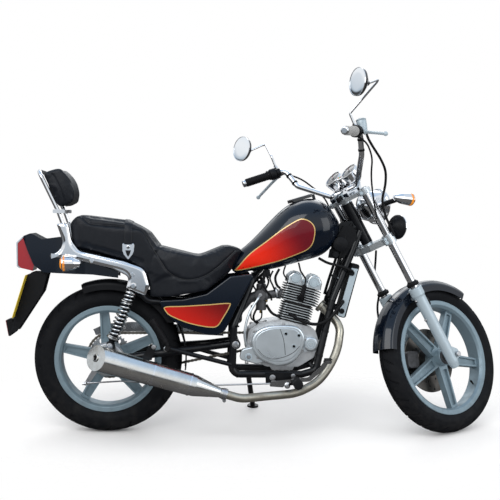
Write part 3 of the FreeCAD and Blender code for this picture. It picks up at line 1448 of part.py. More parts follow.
def side_stand():
    """The stand: an eye on its pin, the leg, and a round foot flat on the ground."""
    eye = rod(STAND_PIVOT - STAND_AXIS * EYE_HALF, STAND_PIVOT + STAND_AXIS * EYE_HALF, 15)
    bore = rod(STAND_PIVOT - STAND_AXIS * 40, STAND_PIVOT + STAND_AXIS * 40, PIN_RADIUS + val("bearing_gap"))
    along = Vector(STAND_LEG).normalize()
    leg = rod(STAND_PIVOT + along * 8, STAND_PIVOT + STAND_LEG - GROUND_UP * 4, val("stand_radius"))
    foot = rod(FOOT_ON_GROUND, FOOT_ON_GROUND + GROUND_UP * val("foot_thick"), val("foot_radius"))
    below = rod(FOOT_ON_GROUND - GROUND_UP * 40, FOOT_ON_GROUND, 60)
    cheeks = [rod(STAND_PIVOT + STAND_AXIS * side * EYE_HALF, STAND_PIVOT + STAND_AXIS * side * 40, 18) for side in SIDES]
    return feature("side_stand", joined([eye, leg, foot]).cut([bore, below] + cheeks))


def stand_bracket():
    """The cheek and pin on the left cradle rail that carry the stand."""
    cheek_start = EYE_HALF + 0.5
    cheek = rod(STAND_PIVOT - STAND_AXIS * (cheek_start + 14), STAND_PIVOT - STAND_AXIS * cheek_start, 16)
    pin = rod(STAND_PIVOT - STAND_AXIS * (cheek_start + 2), STAND_PIVOT + STAND_AXIS * (cheek_start + 6), PIN_RADIUS)
    head = rod(STAND_PIVOT + STAND_AXIS * cheek_start, STAND_PIVOT + STAND_AXIS * (cheek_start + 6), 11)
    rail = at(val("stand_x"), 246, val("cradle_half"))
    root = STAND_PIVOT - STAND_AXIS * (cheek_start + 9.5)
    toward_rail = (rail - root).normalize()
    web = rod(root, rail - toward_rail * (val("frame_tube") - 1), 9)
    return joined([cheek, pin, head, web])


rise(side_stand())
rise(feature("frame", joined([main_frame(), stand_bracket()])))


# Fork, in its own frame: X forward, Y to the left, Z up along the steering axis

LEG_X = val("leg_forward")
LEG_Y = val("leg_half")
AHEAD = Vector(COS_RAKE, 0, -SIN_RAKE)
BOSS_HEIGHT = 288
UPPER_FACE = val("upper_yoke") + val("upper_yoke_thick")
STAY_THICK = 3.0


def steering_yokes():
    """Both yokes with the stem between them and its top nut."""
    plan = [(-30, -30, 22), (10, -104, 10), (50, -104, 10), (52, -60, 20), (34, -36, 20), (34, 36, 20),
            (52, 60, 20), (50, 104, 10), (10, 104, 10), (-30, 30, 22)]
    middle = val("lower_yoke") + val("lower_yoke_thick") / 2
    lower = slab(plan, middle - val("lower_web_thick") / 2, val("lower_web_thick"))
    upper = slab(plan, UPPER_FACE - val("upper_web_thick"), val("upper_web_thick"))
    stem_top = UPPER_FACE + 8
    stem = rod(Vector(0, 0, middle), Vector(0, 0, stem_top), val("stem_radius"))
    nut = rod(Vector(0, 0, stem_top - 8), Vector(0, 0, stem_top + 2), 19)
    collar = val("stem_radius") + val("head_wall") - 1
    races = [rod(Vector(0, 0, middle), Vector(0, 0, val("head_bottom") - 0.5), collar),
             rod(Vector(0, 0, val("head_top") + 0.5), Vector(0, 0, UPPER_FACE - 2), collar)]
    clamps = []
    legs = []
    for side in SIDES:
        leg = Vector(LEG_X, side * LEG_Y, 0)
        for bottom, height in ((val("lower_yoke"), val("lower_yoke_thick")), (val("upper_yoke"), val("upper_yoke_thick"))):
            clamps.append(rod(leg + Z_AXIS * bottom, leg + Z_AXIS * (bottom + height), val("clamp_radius")))
            lug = slab([(LEG_X - 36, side * LEG_Y - 9, 3), (LEG_X - 36, side * LEG_Y + 9, 3), (LEG_X, side * LEG_Y + 9),
                        (LEG_X, side * LEG_Y - 9)], bottom + height * 0.2, height * 0.6)
            clamps.append(lug)
        legs.append(rod(leg + Z_AXIS * 400, leg + Z_AXIS * (UPPER_FACE + 130), val("stanchion_radius") + val("bearing_gap")))
    return feature("steering_yokes", joined([lower, upper, stem, nut] + races + clamps).cut(legs))


rise_on_fork(steering_yokes())


def fork_legs():
    """The two legs: bright stanchions in cast sliders that carry the axle, fender and caliper."""
    legs = []
    slide = FORK_AXLE.z
    radius = val("slider_radius")
    top = val("slider_top") + slide
    for side in SIDES:
        base = Vector(LEG_X, side * LEG_Y, 0)
        slider = turned_solid([(slide - 46, 0), (slide - 46, radius - 8, 5), (slide - 20, radius - 2, 30),
                               (top - 40, radius, 20), (top - 34, radius + 4, 3), (top, radius + 4, 3), (top, 0)],
                              base, Z_AXIS)
        stanchion = rod(base + Vector(0, 0, top - 20), base + Vector(0, 0, UPPER_FACE + 4), val("stanchion_radius"))
        lug = prism([(LEG_X - 10, slide - 18, 8), (FORK_AXLE.x - 6, slide - 18, 16), (FORK_AXLE.x + 18, slide - 14, 16),
                     (FORK_AXLE.x + 18, slide + 16, 14), (FORK_AXLE.x, slide + 34, 16), (LEG_X - 10, slide + 60, 8)],
                    36, side * LEG_Y)
        stay_face = val("fender_half") + STAY_THICK + val("seat_gap")
        boss = rod(Vector(LEG_X, side * stay_face, slide + BOSS_HEIGHT), base + Vector(0, 0, slide + BOSS_HEIGHT), 11)
        bore = rod(Vector(FORK_AXLE.x, -200, slide), Vector(FORK_AXLE.x, 200, slide),
                   val("axle_radius") + val("bearing_gap"))
        faces = [rod(Vector(FORK_AXLE.x, 0, slide), Vector(FORK_AXLE.x, side * (LEG_Y - 18), slide), 14.5),
                 rod(Vector(FORK_AXLE.x, side * (LEG_Y + 18), slide), Vector(FORK_AXLE.x, side * 200, slide), 14.5)]
        legs.append(joined([slider, stanchion, lug, boss]).cut([bore] + faces))
    return group("fork_legs", legs)


rise_on_fork(fork_legs())


def front_axle():
    """The front axle with its nuts and the spacers beside the hub."""
    radius = val("axle_radius")
    lug = LEG_Y - 18 - val("seat_gap")
    end = LEG_Y + 18 + val("seat_gap")
    hub = val("front_hub_half") + 1
    disc = val("disc_middle") + val("disc_thick") / 2 + 1
    return spun("front_axle", [
        (-end - 14, 0), (-end - 14, 11, 2), (-end, 11), (-end, radius), (-lug, radius), (-lug, 14), (-hub, 14),
        (-hub, radius), (disc, radius), (disc, 14), (lug, 14), (lug, radius), (end, radius), (end, 12),
        (end + 10, 12, 2), (end + 10, 0)])


rise_on_fork(front_axle(), Placement(FORK_AXLE, UPRIGHT))


def front_fender():
    """The arched front fender with its deep sides and the stays to the legs."""
    outer = val("fender_radius")
    half = val("fender_half")
    wall = val("fender_wall")
    section = [(-half, outer - 52), (-half, outer - 24, 16), (-half + 26, outer - 2, 30), (0, outer),
               (half - 26, outer - 2, 30), (half, outer - 24, 16), (half, outer - 52), (half - wall, outer - 52),
               (half - wall, outer - 26, 13), (half - 28, outer - wall - 2, 27), (0, outer - wall),
               (-half + 28, outer - wall - 2, 27), (-half + wall, outer - 26, 13), (-half + wall, outer - 52)]
    face = outline_face(section)
    face.rotate(Vector(), Vector(1, 1, 1), 120)
    arch = face.revolve(Vector(), Y_AXIS, 113)
    arch.Placement = Placement(Vector(), Rotation(Y_AXIS, -85))
    stays = []
    for side in SIDES:
        stay = prism([(-182, 214, 8), (-150, 226, 8), (-132, 256, 8), (-158, 276, 8), (-190, 252, 8)], STAY_THICK,
                     side * (half + STAY_THICK / 2))
        stays.append(stay)
    return feature("front_fender", joined([arch] + stays))


rise_on_fork(front_fender(), Placement(FORK_AXLE, UPRIGHT))

BAR_BASE = UPPER_FACE + 24


def on_bar(x, y, rise_above):
    """A point of the fork at a height above the upper yoke's top face."""
    return Vector(x, y, UPPER_FACE + rise_above)


BAR_TOP = on_bar(4, 252, 214)
BAR_END = on_bar(-150, 338, 244)


def bar_side(side, radius):
    """Half of the bent bar, from its middle to its end."""
    left = [Vector(18, 0, BAR_BASE), Vector(18, 82, BAR_BASE), on_bar(-8, 214, 130), BAR_TOP, BAR_END]
    return bent_tube([Vector(p.x, side * p.y, p.z) for p in left], radius, 32)


def handlebar():
    """The pulled-back bar on its two risers, with a bright cap at each end."""
    solids = [bar_side(side, val("bar_radius")) for side in SIDES]
    for side in SIDES:
        riser = prism([(-22, UPPER_FACE), (-26, UPPER_FACE + 16, 8), (-4, BAR_BASE + 14, 10), (36, BAR_BASE + 14, 10),
                       (40, UPPER_FACE)], 28, side * 42)
        end = Vector(BAR_END.x, side * BAR_END.y, BAR_END.z)
        along = (end - Vector(BAR_TOP.x, side * BAR_TOP.y, BAR_TOP.z)).normalize()
        cap = turned_solid([(0, 0), (0, val("grip_radius") - 1, 2), (14, val("grip_radius") - 1, 5), (14, 0)], end, along)
        solids += [riser, cap]
    return feature("handlebar", joined(solids))


rise_on_fork(handlebar())


def along_grip(side, distance):
    """A point on the grip's line, measured back from the end of the bar."""
    end = Vector(BAR_END.x, side * BAR_END.y, BAR_END.z)
    top = Vector(BAR_TOP.x, side * BAR_TOP.y, BAR_TOP.z)
    return end + (top - end).normalize() * distance


def grip_direction(side):
    """The direction of the grip, from the bar's end toward its middle."""
    return (along_grip(side, 1) - along_grip(side, 0)).normalize()


def grips():
    """The rubber grips over the ends of the bar."""
    sleeves = []
    bore = val("bar_radius") + val("bearing_gap")
    radius = val("grip_radius")
    for side in SIDES:
        base = along_grip(side, 0.3)
        sleeves.append(turned_solid([(0, bore), (0, radius, 2), (102, radius, 2), (104, radius + 4), (109, radius + 4),
                                     (109, bore)], base, grip_direction(side)))
    return group("grips", sleeves)


rise_on_fork(grips())


PERCH = 149


def hand_controls():
    """Switch housings, levers, the front brake's reservoir on the right and the lever perch on the left."""
    solids = []
    bore_radius = val("bar_radius") + val("bearing_gap")
    for side in SIDES:
        direction = grip_direction(side)
        housing = turned_solid([(0, 0), (0, 20, 5), (29, 20, 5), (29, 0)], along_grip(side, 110), direction)
        perch = turned_solid([(0, 0), (0, 17, 3), (18, 17, 3), (18, 0)], along_grip(side, PERCH - 9), direction)
        outward = Vector(0.34, side * 0.79, -0.51).normalize()
        pivot = along_grip(side, PERCH) + outward * 32
        mount = rod(along_grip(side, PERCH), pivot, 8)
        knuckle = rod(pivot - Vector(0, 0, 8), pivot + Vector(0, 0, 8), 10)
        tip = on_bar(-56, side * 424, 163)
        middle = along_grip(side, 118) + outward * 64
        lever = bent_tube([pivot, middle, tip], 6, 40)
        ball = Part.makeSphere(9, tip)
        pieces = [housing, perch, mount, knuckle, lever, ball]
        if side == RIGHT:
            base = along_grip(side, PERCH) + Vector(36, 6, -8)
            pieces.append(turned_solid([(0, 0), (0, 17, 3), (30, 20, 3), (42, 20, 4), (42, 0)], base, Vector(0.34, 0, 0.94)))
            pieces.append(rod(along_grip(side, PERCH), base + Vector(5, 0, 14), 10))
        solids.append(joined(pieces).cut(bar_side(side, bore_radius)))
    return group("hand_controls", solids)


rise_on_fork(hand_controls())

MIRROR = on_bar(-30, 398, 384)


def mirrors():
    """The round mirrors on their cranked stems."""
    solids = []
    radius = val("mirror_radius")
    for side in SIDES:
        head = Vector(MIRROR.x, side * MIRROR.y, MIRROR.z)
        foot = along_grip(side, PERCH)
        facing = Vector(-0.86, -side * 0.12, 0.50).normalize()
        shell = turned_solid([(-4, 0), (-4, radius - 3), (0, radius, 2), (8, radius - 2, 6), (38, 13, 12), (46, 9),
                              (46, 0)], head, facing * -1)
        back = head - facing * 44
        stem = bent_tube([foot + Vector(0, 0, 18), foot + Vector(8, 0, 76), on_bar(92, side * 388, 358), back], 5, 12)
        solids.append(joined([shell, stem]))
    return group("mirrors", solids)


rise_on_fork(mirrors())


def instruments():
    """Two round gauges with a lamp panel between them, on a bracket over the upper yoke."""
    tilt = Vector(-0.42, 0, 0.91).normalize()
    base = on_bar(66, 0, 42)
    cups = []
    for side in SIDES:
        cups.append(turned_solid([(0, 0), (0, 22, 6), (16, 38, 8), (48, 40, 3), (52, 37), (52, 0)],
                                 base + Vector(0, side * 52, 0), tilt))
    panel = turned_solid([(10, 0), (10, 17, 3), (46, 17, 3), (46, 0)], base + Vector(-14, 0, 0), tilt)
    bracket = prism([(42, UPPER_FACE + 0.4), (42, UPPER_FACE + 20, 4), (62, UPPER_FACE + 52, 6),
                     (84, UPPER_FACE + 62, 6), (84, UPPER_FACE + 48, 6), (66, UPPER_FACE + 36, 6),
                     (50, UPPER_FACE + 0.4)], 128)
    return feature("instruments", joined(cups + [panel, bracket]))


rise_on_fork(instruments())

LAMP = Vector(118, 0, 684)
EAR_FACE = 108


def headlamp():
    """The headlamp's bowl and rim with the two ribbed ears that hold it."""
    radius = val("lamp_radius")
    lamp = turned_solid([(-62, 0), (-60, 24, 12), (-36, radius - 10, 30), (24, radius - 4), (24, radius, 2),
                         (40, radius, 4), (42, radius - 10), (48, radius - 30, 30), (50, 0)], LAMP, AHEAD)
    ears = []
    for side in SIDES:
        ears.append(prism([(52, 724, 8), (118, 712, 8), (128, 672, 8), (86, 640, 8), (52, 622, 8)], 10,
                          side * (radius + 2)))
        ears.append(prism([(34, val("upper_yoke") - 4), (60, val("upper_yoke") - 4, 6), (60, LAMP.z - 84, 6),
                           (34, LAMP.z - 84)], 8, side * (LEG_Y - val("stanchion_radius") - 4 - val("seat_gap"))))
        cheek = prism([(50, 718, 6), (82, 704, 12), (108, 656, 12), (92, 636, 8), (50, 628, 6)], EAR_FACE - radius,
                      side * (radius + EAR_FACE) / 2)
        grooves = [prism([(x - 1.5, 600), (x - 1.5, 740), (x + 1.5, 740), (x + 1.5, 600)], 6, side * EAR_FACE)
                   for x in range(58, 106, 8)]
        ears.append(cheek.cut(grooves))
    pivot = rod(Vector(112, -radius - 6, LAMP.z), Vector(112, radius + 6, LAMP.z), 8)
    return feature("headlamp", joined([lamp, pivot] + ears))


rise_on_fork(headlamp())


def front_turn_signals():
    """The front turn signals on stalks from the headlamp's ears."""
    solids = []
    for side in SIDES:
        middle = Vector(136, side * 172, 656)
        lamp = bullet(middle, AHEAD, val("signal_radius") - 5, val("signal_length") + 26)
        stalk = rod(Vector(78, side * val("lamp_radius"), 678), middle - AHEAD * 20, 10)
        between = prism([(0, 600), (0, 800), (200, 800), (200, 600)], 2 * (EAR_FACE + val("seat_gap")))
        solids.append(joined([lamp, stalk]).cut(between))
    return group("front_turn_signals", solids)


rise_on_fork(front_turn_signals())


def horn():
    """The round horn beside the lower yoke on the right."""
    face = Vector(96, -96, 566)
    disc = turned_solid([(-30, 0), (-30, 14, 3), (-18, 30, 8), (-6, 46, 8), (0, 50, 2), (8, 50, 3), (14, 40), (10, 0)],
                        face, AHEAD)
    strap = prism([(57.8, 546), (57.8, 560), (84, 582), (90, 574), (74, 546)], 14, face.y)
    return feature("horn", joined([disc, strap]))


rise_on_fork(horn())


def brake_caliper():
    """The caliper behind the left leg, with a slot for the disc, on its bracket."""
    middle = val("disc_middle")
    radius = val("disc_radius")
    block = prism([(-34, radius - 48, 8), (-34, radius + 12, 14), (34, radius + 12, 14), (34, radius - 48, 8)], 60,
                  middle - 2)
    block.Placement = Placement(FORK_AXLE, Rotation(Y_AXIS, -62))
    slot_half = val("disc_thick") / 2 + 5
    slot = rod(FORK_AXLE + Vector(0, middle - slot_half, 0), FORK_AXLE + Vector(0, middle + slot_half, 0), radius + 5)
    slide = FORK_AXLE.z
    rear_of_leg = LEG_X - val("slider_radius") + 1.0
    bracket = prism([(rear_of_leg, slide + 92, 4), (rear_of_leg, slide + 30, 4), (-44, slide + 30, 8),
                     (-44, slide + 86, 8)], 24, LEG_Y)
    return feature("brake_caliper", joined([block.cut(slot), bracket]))


rise_on_fork(brake_caliper())


BRAKE_HOSE = [on_bar(22, -262, 206), on_bar(20, -258, 172), on_bar(44, -238, 128), on_bar(76, -214, 80),
              on_bar(86, -200, 26), Vector(70, -176, 744), Vector(44, -146, 700), Vector(34, -131, 640),
              Vector(36, -123.8, 545)]
THROTTLE_CABLE = [on_bar(-42, -278, 199.3), on_bar(0, -262, 160), on_bar(26, -226, 100), on_bar(36, -160, 34),
                  Vector(14, -134, 716), Vector(-8, -124, 640)]
CLUTCH_CABLE = [on_bar(-1.2, 288.2, 202.7), on_bar(18, 281.3, 202.7), on_bar(52, 238, 150), on_bar(60, 200, 84), on_bar(46, 150, 22),
                Vector(14, 134, 716), Vector(-8, 124, 640)]
CALIPER_HOSE = [Vector(84, 64, 505), Vector(76, 84, 470), Vector(58, 118, 410), Vector(44.4, 118.1, 340),
                Vector(-4, 128, 290), Vector(-48, 112, 230), Vector(-74, 96, 170), Vector(-78, 84, 136)]


def front_cables():
    """The brake hoses and the throttle and clutch cables, held along the fork."""
    tubes = [cable(BRAKE_HOSE, 5), cable(THROTTLE_CABLE, 3.5), cable(CLUTCH_CABLE, 3.5), cable(CALIPER_HOSE, 4.5)]
    return group("front_cables", tubes)


rise_on_fork(front_cables())


# Write the pieces

def settle():
    """Moves the whole motorcycle so that the middle of its underside is the origin."""
    doc.recompute()
    box = FreeCAD.BoundBox()
    for node in NODES.values():
        box.add(node.Shape.optimalBoundingBox(False, False))
    shift = Placement(Vector(-box.Center.x, -box.Center.y, 0), Rotation())
    for node in NODES.values():
        node.Placement = shift * node.Placement
    return shift


SHIFT = settle()
doc.recompute()

for item in doc.Objects:
    if "Invalid" in item.State or "Error" in item.State:
        raise ValueError(f"{item.Label} failed: {item.State}")
for label, node in NODES.items():
    if node.Shape.isNull() or not node.Shape.isValid():
        raise ValueError(f"{label} has no valid shape")

os.makedirs("parts", exist_ok=True)
for label, node in NODES.items():
    node.Shape.exportStep(f"parts/{label}.step")
print(len(NODES), "nodes written")
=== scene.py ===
"""The looks of a cruiser motorcycle on its side stand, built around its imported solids."""

import math

import bmesh
import bpy
from bpy.props import FloatProperty, FloatVectorProperty, IntProperty, PointerProperty
from mathutils import Matrix, Vector
from mathutils.bvhtree import BVHTree
from mathutils.geometry import delaunay_2d_cdt


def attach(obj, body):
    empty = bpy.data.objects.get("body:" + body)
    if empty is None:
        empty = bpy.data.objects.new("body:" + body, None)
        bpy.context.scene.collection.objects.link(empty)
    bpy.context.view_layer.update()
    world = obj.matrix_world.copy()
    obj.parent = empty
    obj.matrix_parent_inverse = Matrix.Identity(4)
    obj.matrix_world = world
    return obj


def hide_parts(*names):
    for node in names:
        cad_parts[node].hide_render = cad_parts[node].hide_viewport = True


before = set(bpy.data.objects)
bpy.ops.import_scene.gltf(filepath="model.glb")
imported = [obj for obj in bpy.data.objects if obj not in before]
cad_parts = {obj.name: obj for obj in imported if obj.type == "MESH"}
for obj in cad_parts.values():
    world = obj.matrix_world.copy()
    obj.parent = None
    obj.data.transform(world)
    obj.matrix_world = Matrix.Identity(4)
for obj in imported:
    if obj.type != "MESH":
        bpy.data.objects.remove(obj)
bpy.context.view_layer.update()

bl_info = {
    "name": "Cruiser Motorcycle",
    "version": (1, 0, 0),
    "blender": (4, 5, 0),
    "location": "View3D > Sidebar > Motorcycle",
    "description": "Builds the looks of a cruiser motorcycle around its packed solids",
    "category": "Object",
}

# The motorcycle's own frames, in millimetres: X forward, Y to the left, Z up
MM = 0.001
LEAN = math.radians(7.07)
RAKE = math.radians(28.67)
STEER = math.radians(34.94)
CYLINDER_TILT = math.radians(14)
REAR_AXLE = (0, 0, 299)
STEER_BASE = (1326.537, 0, 284.312)
FORK_AXLE = (52.5, 0, -10.39)
CYLINDER_BASE = (752, 0, 452)
BIKE = (Matrix.Translation((-0.617848, -0.137504, 0.000456)) @ Matrix.Rotation(-LEAN, 4, "X")
        @ Matrix.Scale(MM, 4))
FORK = (BIKE @ Matrix.Translation(STEER_BASE) @ Matrix.Rotation(-RAKE, 4, "Y")
        @ Matrix.Rotation(STEER, 4, "Z"))
REAR_HUB = BIKE @ Matrix.Translation(REAR_AXLE)
FRONT_HUB = FORK @ Matrix.Translation(FORK_AXLE) @ Matrix.Rotation(RAKE, 4, "Y")
CYLINDER = BIKE @ Matrix.Translation(CYLINDER_BASE) @ Matrix.Rotation(CYLINDER_TILT, 4, "Y")

# Directions: ahead and upward as the fork's frame sees them, the two sides, and toward the right
AHEAD = Vector((math.cos(RAKE), 0, -math.sin(RAKE)))
UPWARD = Vector((math.sin(RAKE), 0, math.cos(RAKE)))
RIGHT = -1
LEFT = 1
SIDES = (RIGHT, LEFT)
AWAY = Vector((0, -1, 0))

# The head's top along the cylinder, the upper yoke's face along the steering axis, and how far ahead of
# that axis the fork's legs stand
HEAD_TOP = 152.3
UPPER_FACE = 770
FORK_REACH = 31.5
# Places that the finishes and the fittings share, given on the left where a piece has a twin
SHOCK_TOP = (103, 119, 600)
SHOCK_FOOT = (12, 119, 362)
MUFFLER_FRONT = Vector((476, -190, 179))
MUFFLER_REAR = Vector((-35, -200, 323))
GRIP_END = (-150, 338, 1014)
GRIP_TOP = (4, 252, 984)
FRONT_SIGNAL = (136, 172, 656)
MIRROR_HEAD = (-30, 398, 1154)


# Sizes and colours that a user may change

class TyreSettings(bpy.types.PropertyGroup):
    groove_depth: FloatProperty(name="Groove depth", description="Depth of the tread's grooves",
                                default=0.0042, min=0.001, max=0.008, unit="LENGTH")
    blocks_rear: IntProperty(name="Rear blocks", description="Tread blocks around the rear tyre", default=42)
    blocks_front: IntProperty(name="Front blocks", description="Tread blocks around the front tyre",
                              default=46)


class PaintSettings(bpy.types.PropertyGroup):
    body: FloatVectorProperty(name="Body colour", description="Blue-black paint", subtype="COLOR",
                              default=(0.0018, 0.0042, 0.010), size=3)
    panel: FloatVectorProperty(name="Panel colour", description="Red of the teardrop panels", subtype="COLOR",
                               default=(0.72, 0.022, 0.007), size=3)
    panel_dark: FloatVectorProperty(name="Dark end of the panel", subtype="COLOR",
                                    description="Maroon at the panel's upper front",
                                    default=(0.115, 0.006, 0.012), size=3)
    line: FloatVectorProperty(name="Line colour", description="Gold of the border lines", subtype="COLOR",
                              default=(0.62, 0.42, 0.14), size=3)


class SeatSettings(bpy.types.PropertyGroup):
    voxel: FloatProperty(name="Voxel", description="Size of the remeshed cells before padding", default=0.006,
                         unit="LENGTH")
    pressure: FloatProperty(name="Pressure", description="Air pressure that fills the padding", default=4.0)
    swell: FloatProperty(name="Largest swell", description="How far padding may move", default=0.006,
                         unit="LENGTH")


# Node groups shared by the finishes

def add_node(tree, kind, inputs, **settings):
    """A shader node whose inputs take values or other nodes' outputs."""
    node = tree.nodes.new("ShaderNode" + kind)
    for key, value in settings.items():
        setattr(node, key, value)
    for key, value in inputs.items():
        if isinstance(value, bpy.types.NodeSocket):
            tree.links.new(value, node.inputs[key])
        else:
            node.inputs[key].default_value = value
    return node


def mixed(tree, share, first, second):
    """The colour between two others, by a share that a socket gives."""
    return add_node(tree, "Mix", {"Factor": share, 6: first, 7: second}, data_type="RGBA").outputs[2]


def new_group(name, inputs, outputs):
    """An empty shader node group with named sockets, and its input and output nodes."""
    group = bpy.data.node_groups.new(name, "ShaderNodeTree")
    for label, kind, value in inputs:
        socket = group.interface.new_socket(name=label, in_out="INPUT", socket_type=kind)
        socket.default_value = value
    for label, kind in outputs:
        group.interface.new_socket(name=label, in_out="OUTPUT", socket_type=kind)
    return group, group.nodes.new("NodeGroupInput"), group.nodes.new("NodeGroupOutput")


def grime_group():
    """Dust and road dirt: more of it low down, broken up by noise."""
    group, source, sink = new_group(
        "road grime",
        [("Clean", "NodeSocketColor", (0.5, 0.5, 0.5, 1)), ("Dirt", "NodeSocketColor", (0.12, 0.10, 0.08, 1)),
         ("Scale", "NodeSocketFloat", 30.0), ("Amount", "NodeSocketFloat", 0.3),
         ("Reach", "NodeSocketFloat", 0.5)],
        [("Color", "NodeSocketColor"), ("Mask", "NodeSocketFloat")])
    given = source.outputs
    place = add_node(group, "TexCoord", {}).outputs["Object"]
    height = add_node(group, "SeparateXYZ", {0: place}).outputs["Z"]
    low = add_node(group, "MapRange",
                   {"Value": height, "From Max": given["Reach"], "To Min": 1.0, "To Max": 0.15},
                   interpolation_type="SMOOTHSTEP")
    cloud = add_node(group, "TexNoise",
                     {"Vector": place, "Scale": given["Scale"], "Detail": 6, "Roughness": 0.65})
    spread = add_node(group, "MapRange", {"Value": cloud.outputs["Fac"], "From Min": 0.42, "From Max": 0.72})
    both = add_node(group, "Math", {0: low.outputs["Result"], 1: spread.outputs["Result"]},
                    operation="MULTIPLY")
    share = add_node(group, "Math", {0: both.outputs[0], 1: given["Amount"]}, operation="MULTIPLY",
                     use_clamp=True)
    colour = mixed(group, share.outputs[0], given["Clean"], given["Dirt"])
    group.links.new(colour, sink.inputs["Color"])
    group.links.new(share.outputs[0], sink.inputs["Mask"])
    return group


def grain_group():
    """The fine relief of a surface, as a height, and a slow change of its gloss."""
    group, source, sink = new_group(
        "surface grain",
        [("Scale", "NodeSocketFloat", 400.0), ("Smooth", "NodeSocketFloat", 0.2),
         ("Rough", "NodeSocketFloat", 0.4)],
        [("Height", "NodeSocketFloat"), ("Roughness", "NodeSocketFloat")])
    given = source.outputs
    place = add_node(group, "TexCoord", {}).outputs["Object"]
    fine = add_node(group, "TexNoise", {"Vector": place, "Scale": given["Scale"], "Detail": 3})
    broad = add_node(group, "TexNoise", {"Vector": place, "Scale": 22, "Detail": 5})
    gloss = add_node(group, "MapRange", {"Value": broad.outputs["Fac"], "From Min": 0.3, "From Max": 0.7,
                                         "To Min": given["Smooth"], "To Max": given["Rough"]})
    group.links.new(fine.outputs["Fac"], sink.inputs["Height"])
    group.links.new(gloss.outputs["Result"], sink.inputs["Roughness"])
    return group


def vinyl_group():
    """The cells and creases of grained vinyl, as a height."""
    group, source, sink = new_group("vinyl grain", [("Scale", "NodeSocketFloat", 420.0)],
                                    [("Height", "NodeSocketFloat")])
    place = add_node(group, "TexCoord", {}).outputs["Object"]
    cells = add_node(group, "TexVoronoi", {"Vector": place, "Scale": source.outputs["Scale"]},
                     feature="DISTANCE_TO_EDGE")
    creases = add_node(group, "TexNoise", {"Vector": place, "Scale": 60, "Detail": 8})
    total = add_node(group, "Math", {0: cells.outputs["Distance"], 1: creases.outputs["Fac"]},
                     operation="ADD")
    group.links.new(total.outputs[0], sink.inputs["Height"])
    return group


GROUPS = {}

# Finishes

def finish(name, colour, metallic=0.0, smooth=0.3, rough=0.45, grain=500.0, relief=0.0004, coat=0.0, dirt=0.3,
           dirt_colour=(0.10, 0.085, 0.07), dirt_scale=30.0, reach=0.6, specular=0.5, vinyl=False):
    """A material whose colour carries grime and whose gloss and relief vary over the surface."""
    material = bpy.data.materials.new(name)
    material.use_nodes = True
    tree = material.node_tree
    shader = tree.nodes["Principled BSDF"]
    shader.inputs["Metallic"].default_value = metallic
    shader.inputs["Specular IOR Level"].default_value = specular
    if coat:
        shader.inputs["Coat Weight"].default_value = coat
        shader.inputs["Coat Roughness"].default_value = 0.04
    grime = add_node(tree, "Group", {"Clean": (*colour, 1), "Dirt": (*dirt_colour, 1), "Scale": dirt_scale,
                                     "Amount": dirt, "Reach": reach}, node_tree=GROUPS["grime"])
    grained = add_node(tree, "Group", {"Scale": grain, "Smooth": smooth, "Rough": rough},
                       node_tree=GROUPS["grain"])
    height = grained.outputs["Height"]
    if vinyl:
        height = add_node(tree, "Group", {"Scale": grain}, node_tree=GROUPS["vinyl"]).outputs["Height"]
    gloss = add_node(tree, "Math", {0: grime.outputs["Mask"], 1: 0.35, 2: grained.outputs["Roughness"]},
                     operation="MULTIPLY_ADD", use_clamp=True)
    bump = add_node(tree, "Bump", {"Height": height, "Distance": relief})
    tree.links.new(grime.outputs["Color"], shader.inputs["Base Color"])
    tree.links.new(gloss.outputs[0], shader.inputs["Roughness"])
    tree.links.new(bump.outputs["Normal"], shader.inputs["Normal"])
    return material


def fading(material, first, second, direction, start, end):
    """Lets a finish's clean colour fade from one to another along a direction."""
    tree = material.node_tree
    grime = [node for node in tree.nodes if node.type == "GROUP" and node.node_tree == GROUPS["grime"]][0]
    place = add_node(tree, "TexCoord", {}).outputs["Object"]
    along = add_node(tree, "VectorMath", {0: place, 1: direction}, operation="DOT_PRODUCT").outputs["Value"]
    share = add_node(tree, "MapRange", {"Value": along, "From Min": start, "From Max": end},
                     interpolation_type="SMOOTHSTEP").outputs["Result"]
    tree.links.new(mixed(tree, share, (*first, 1), (*second, 1)), grime.inputs["Clean"])


FINISHES = {}


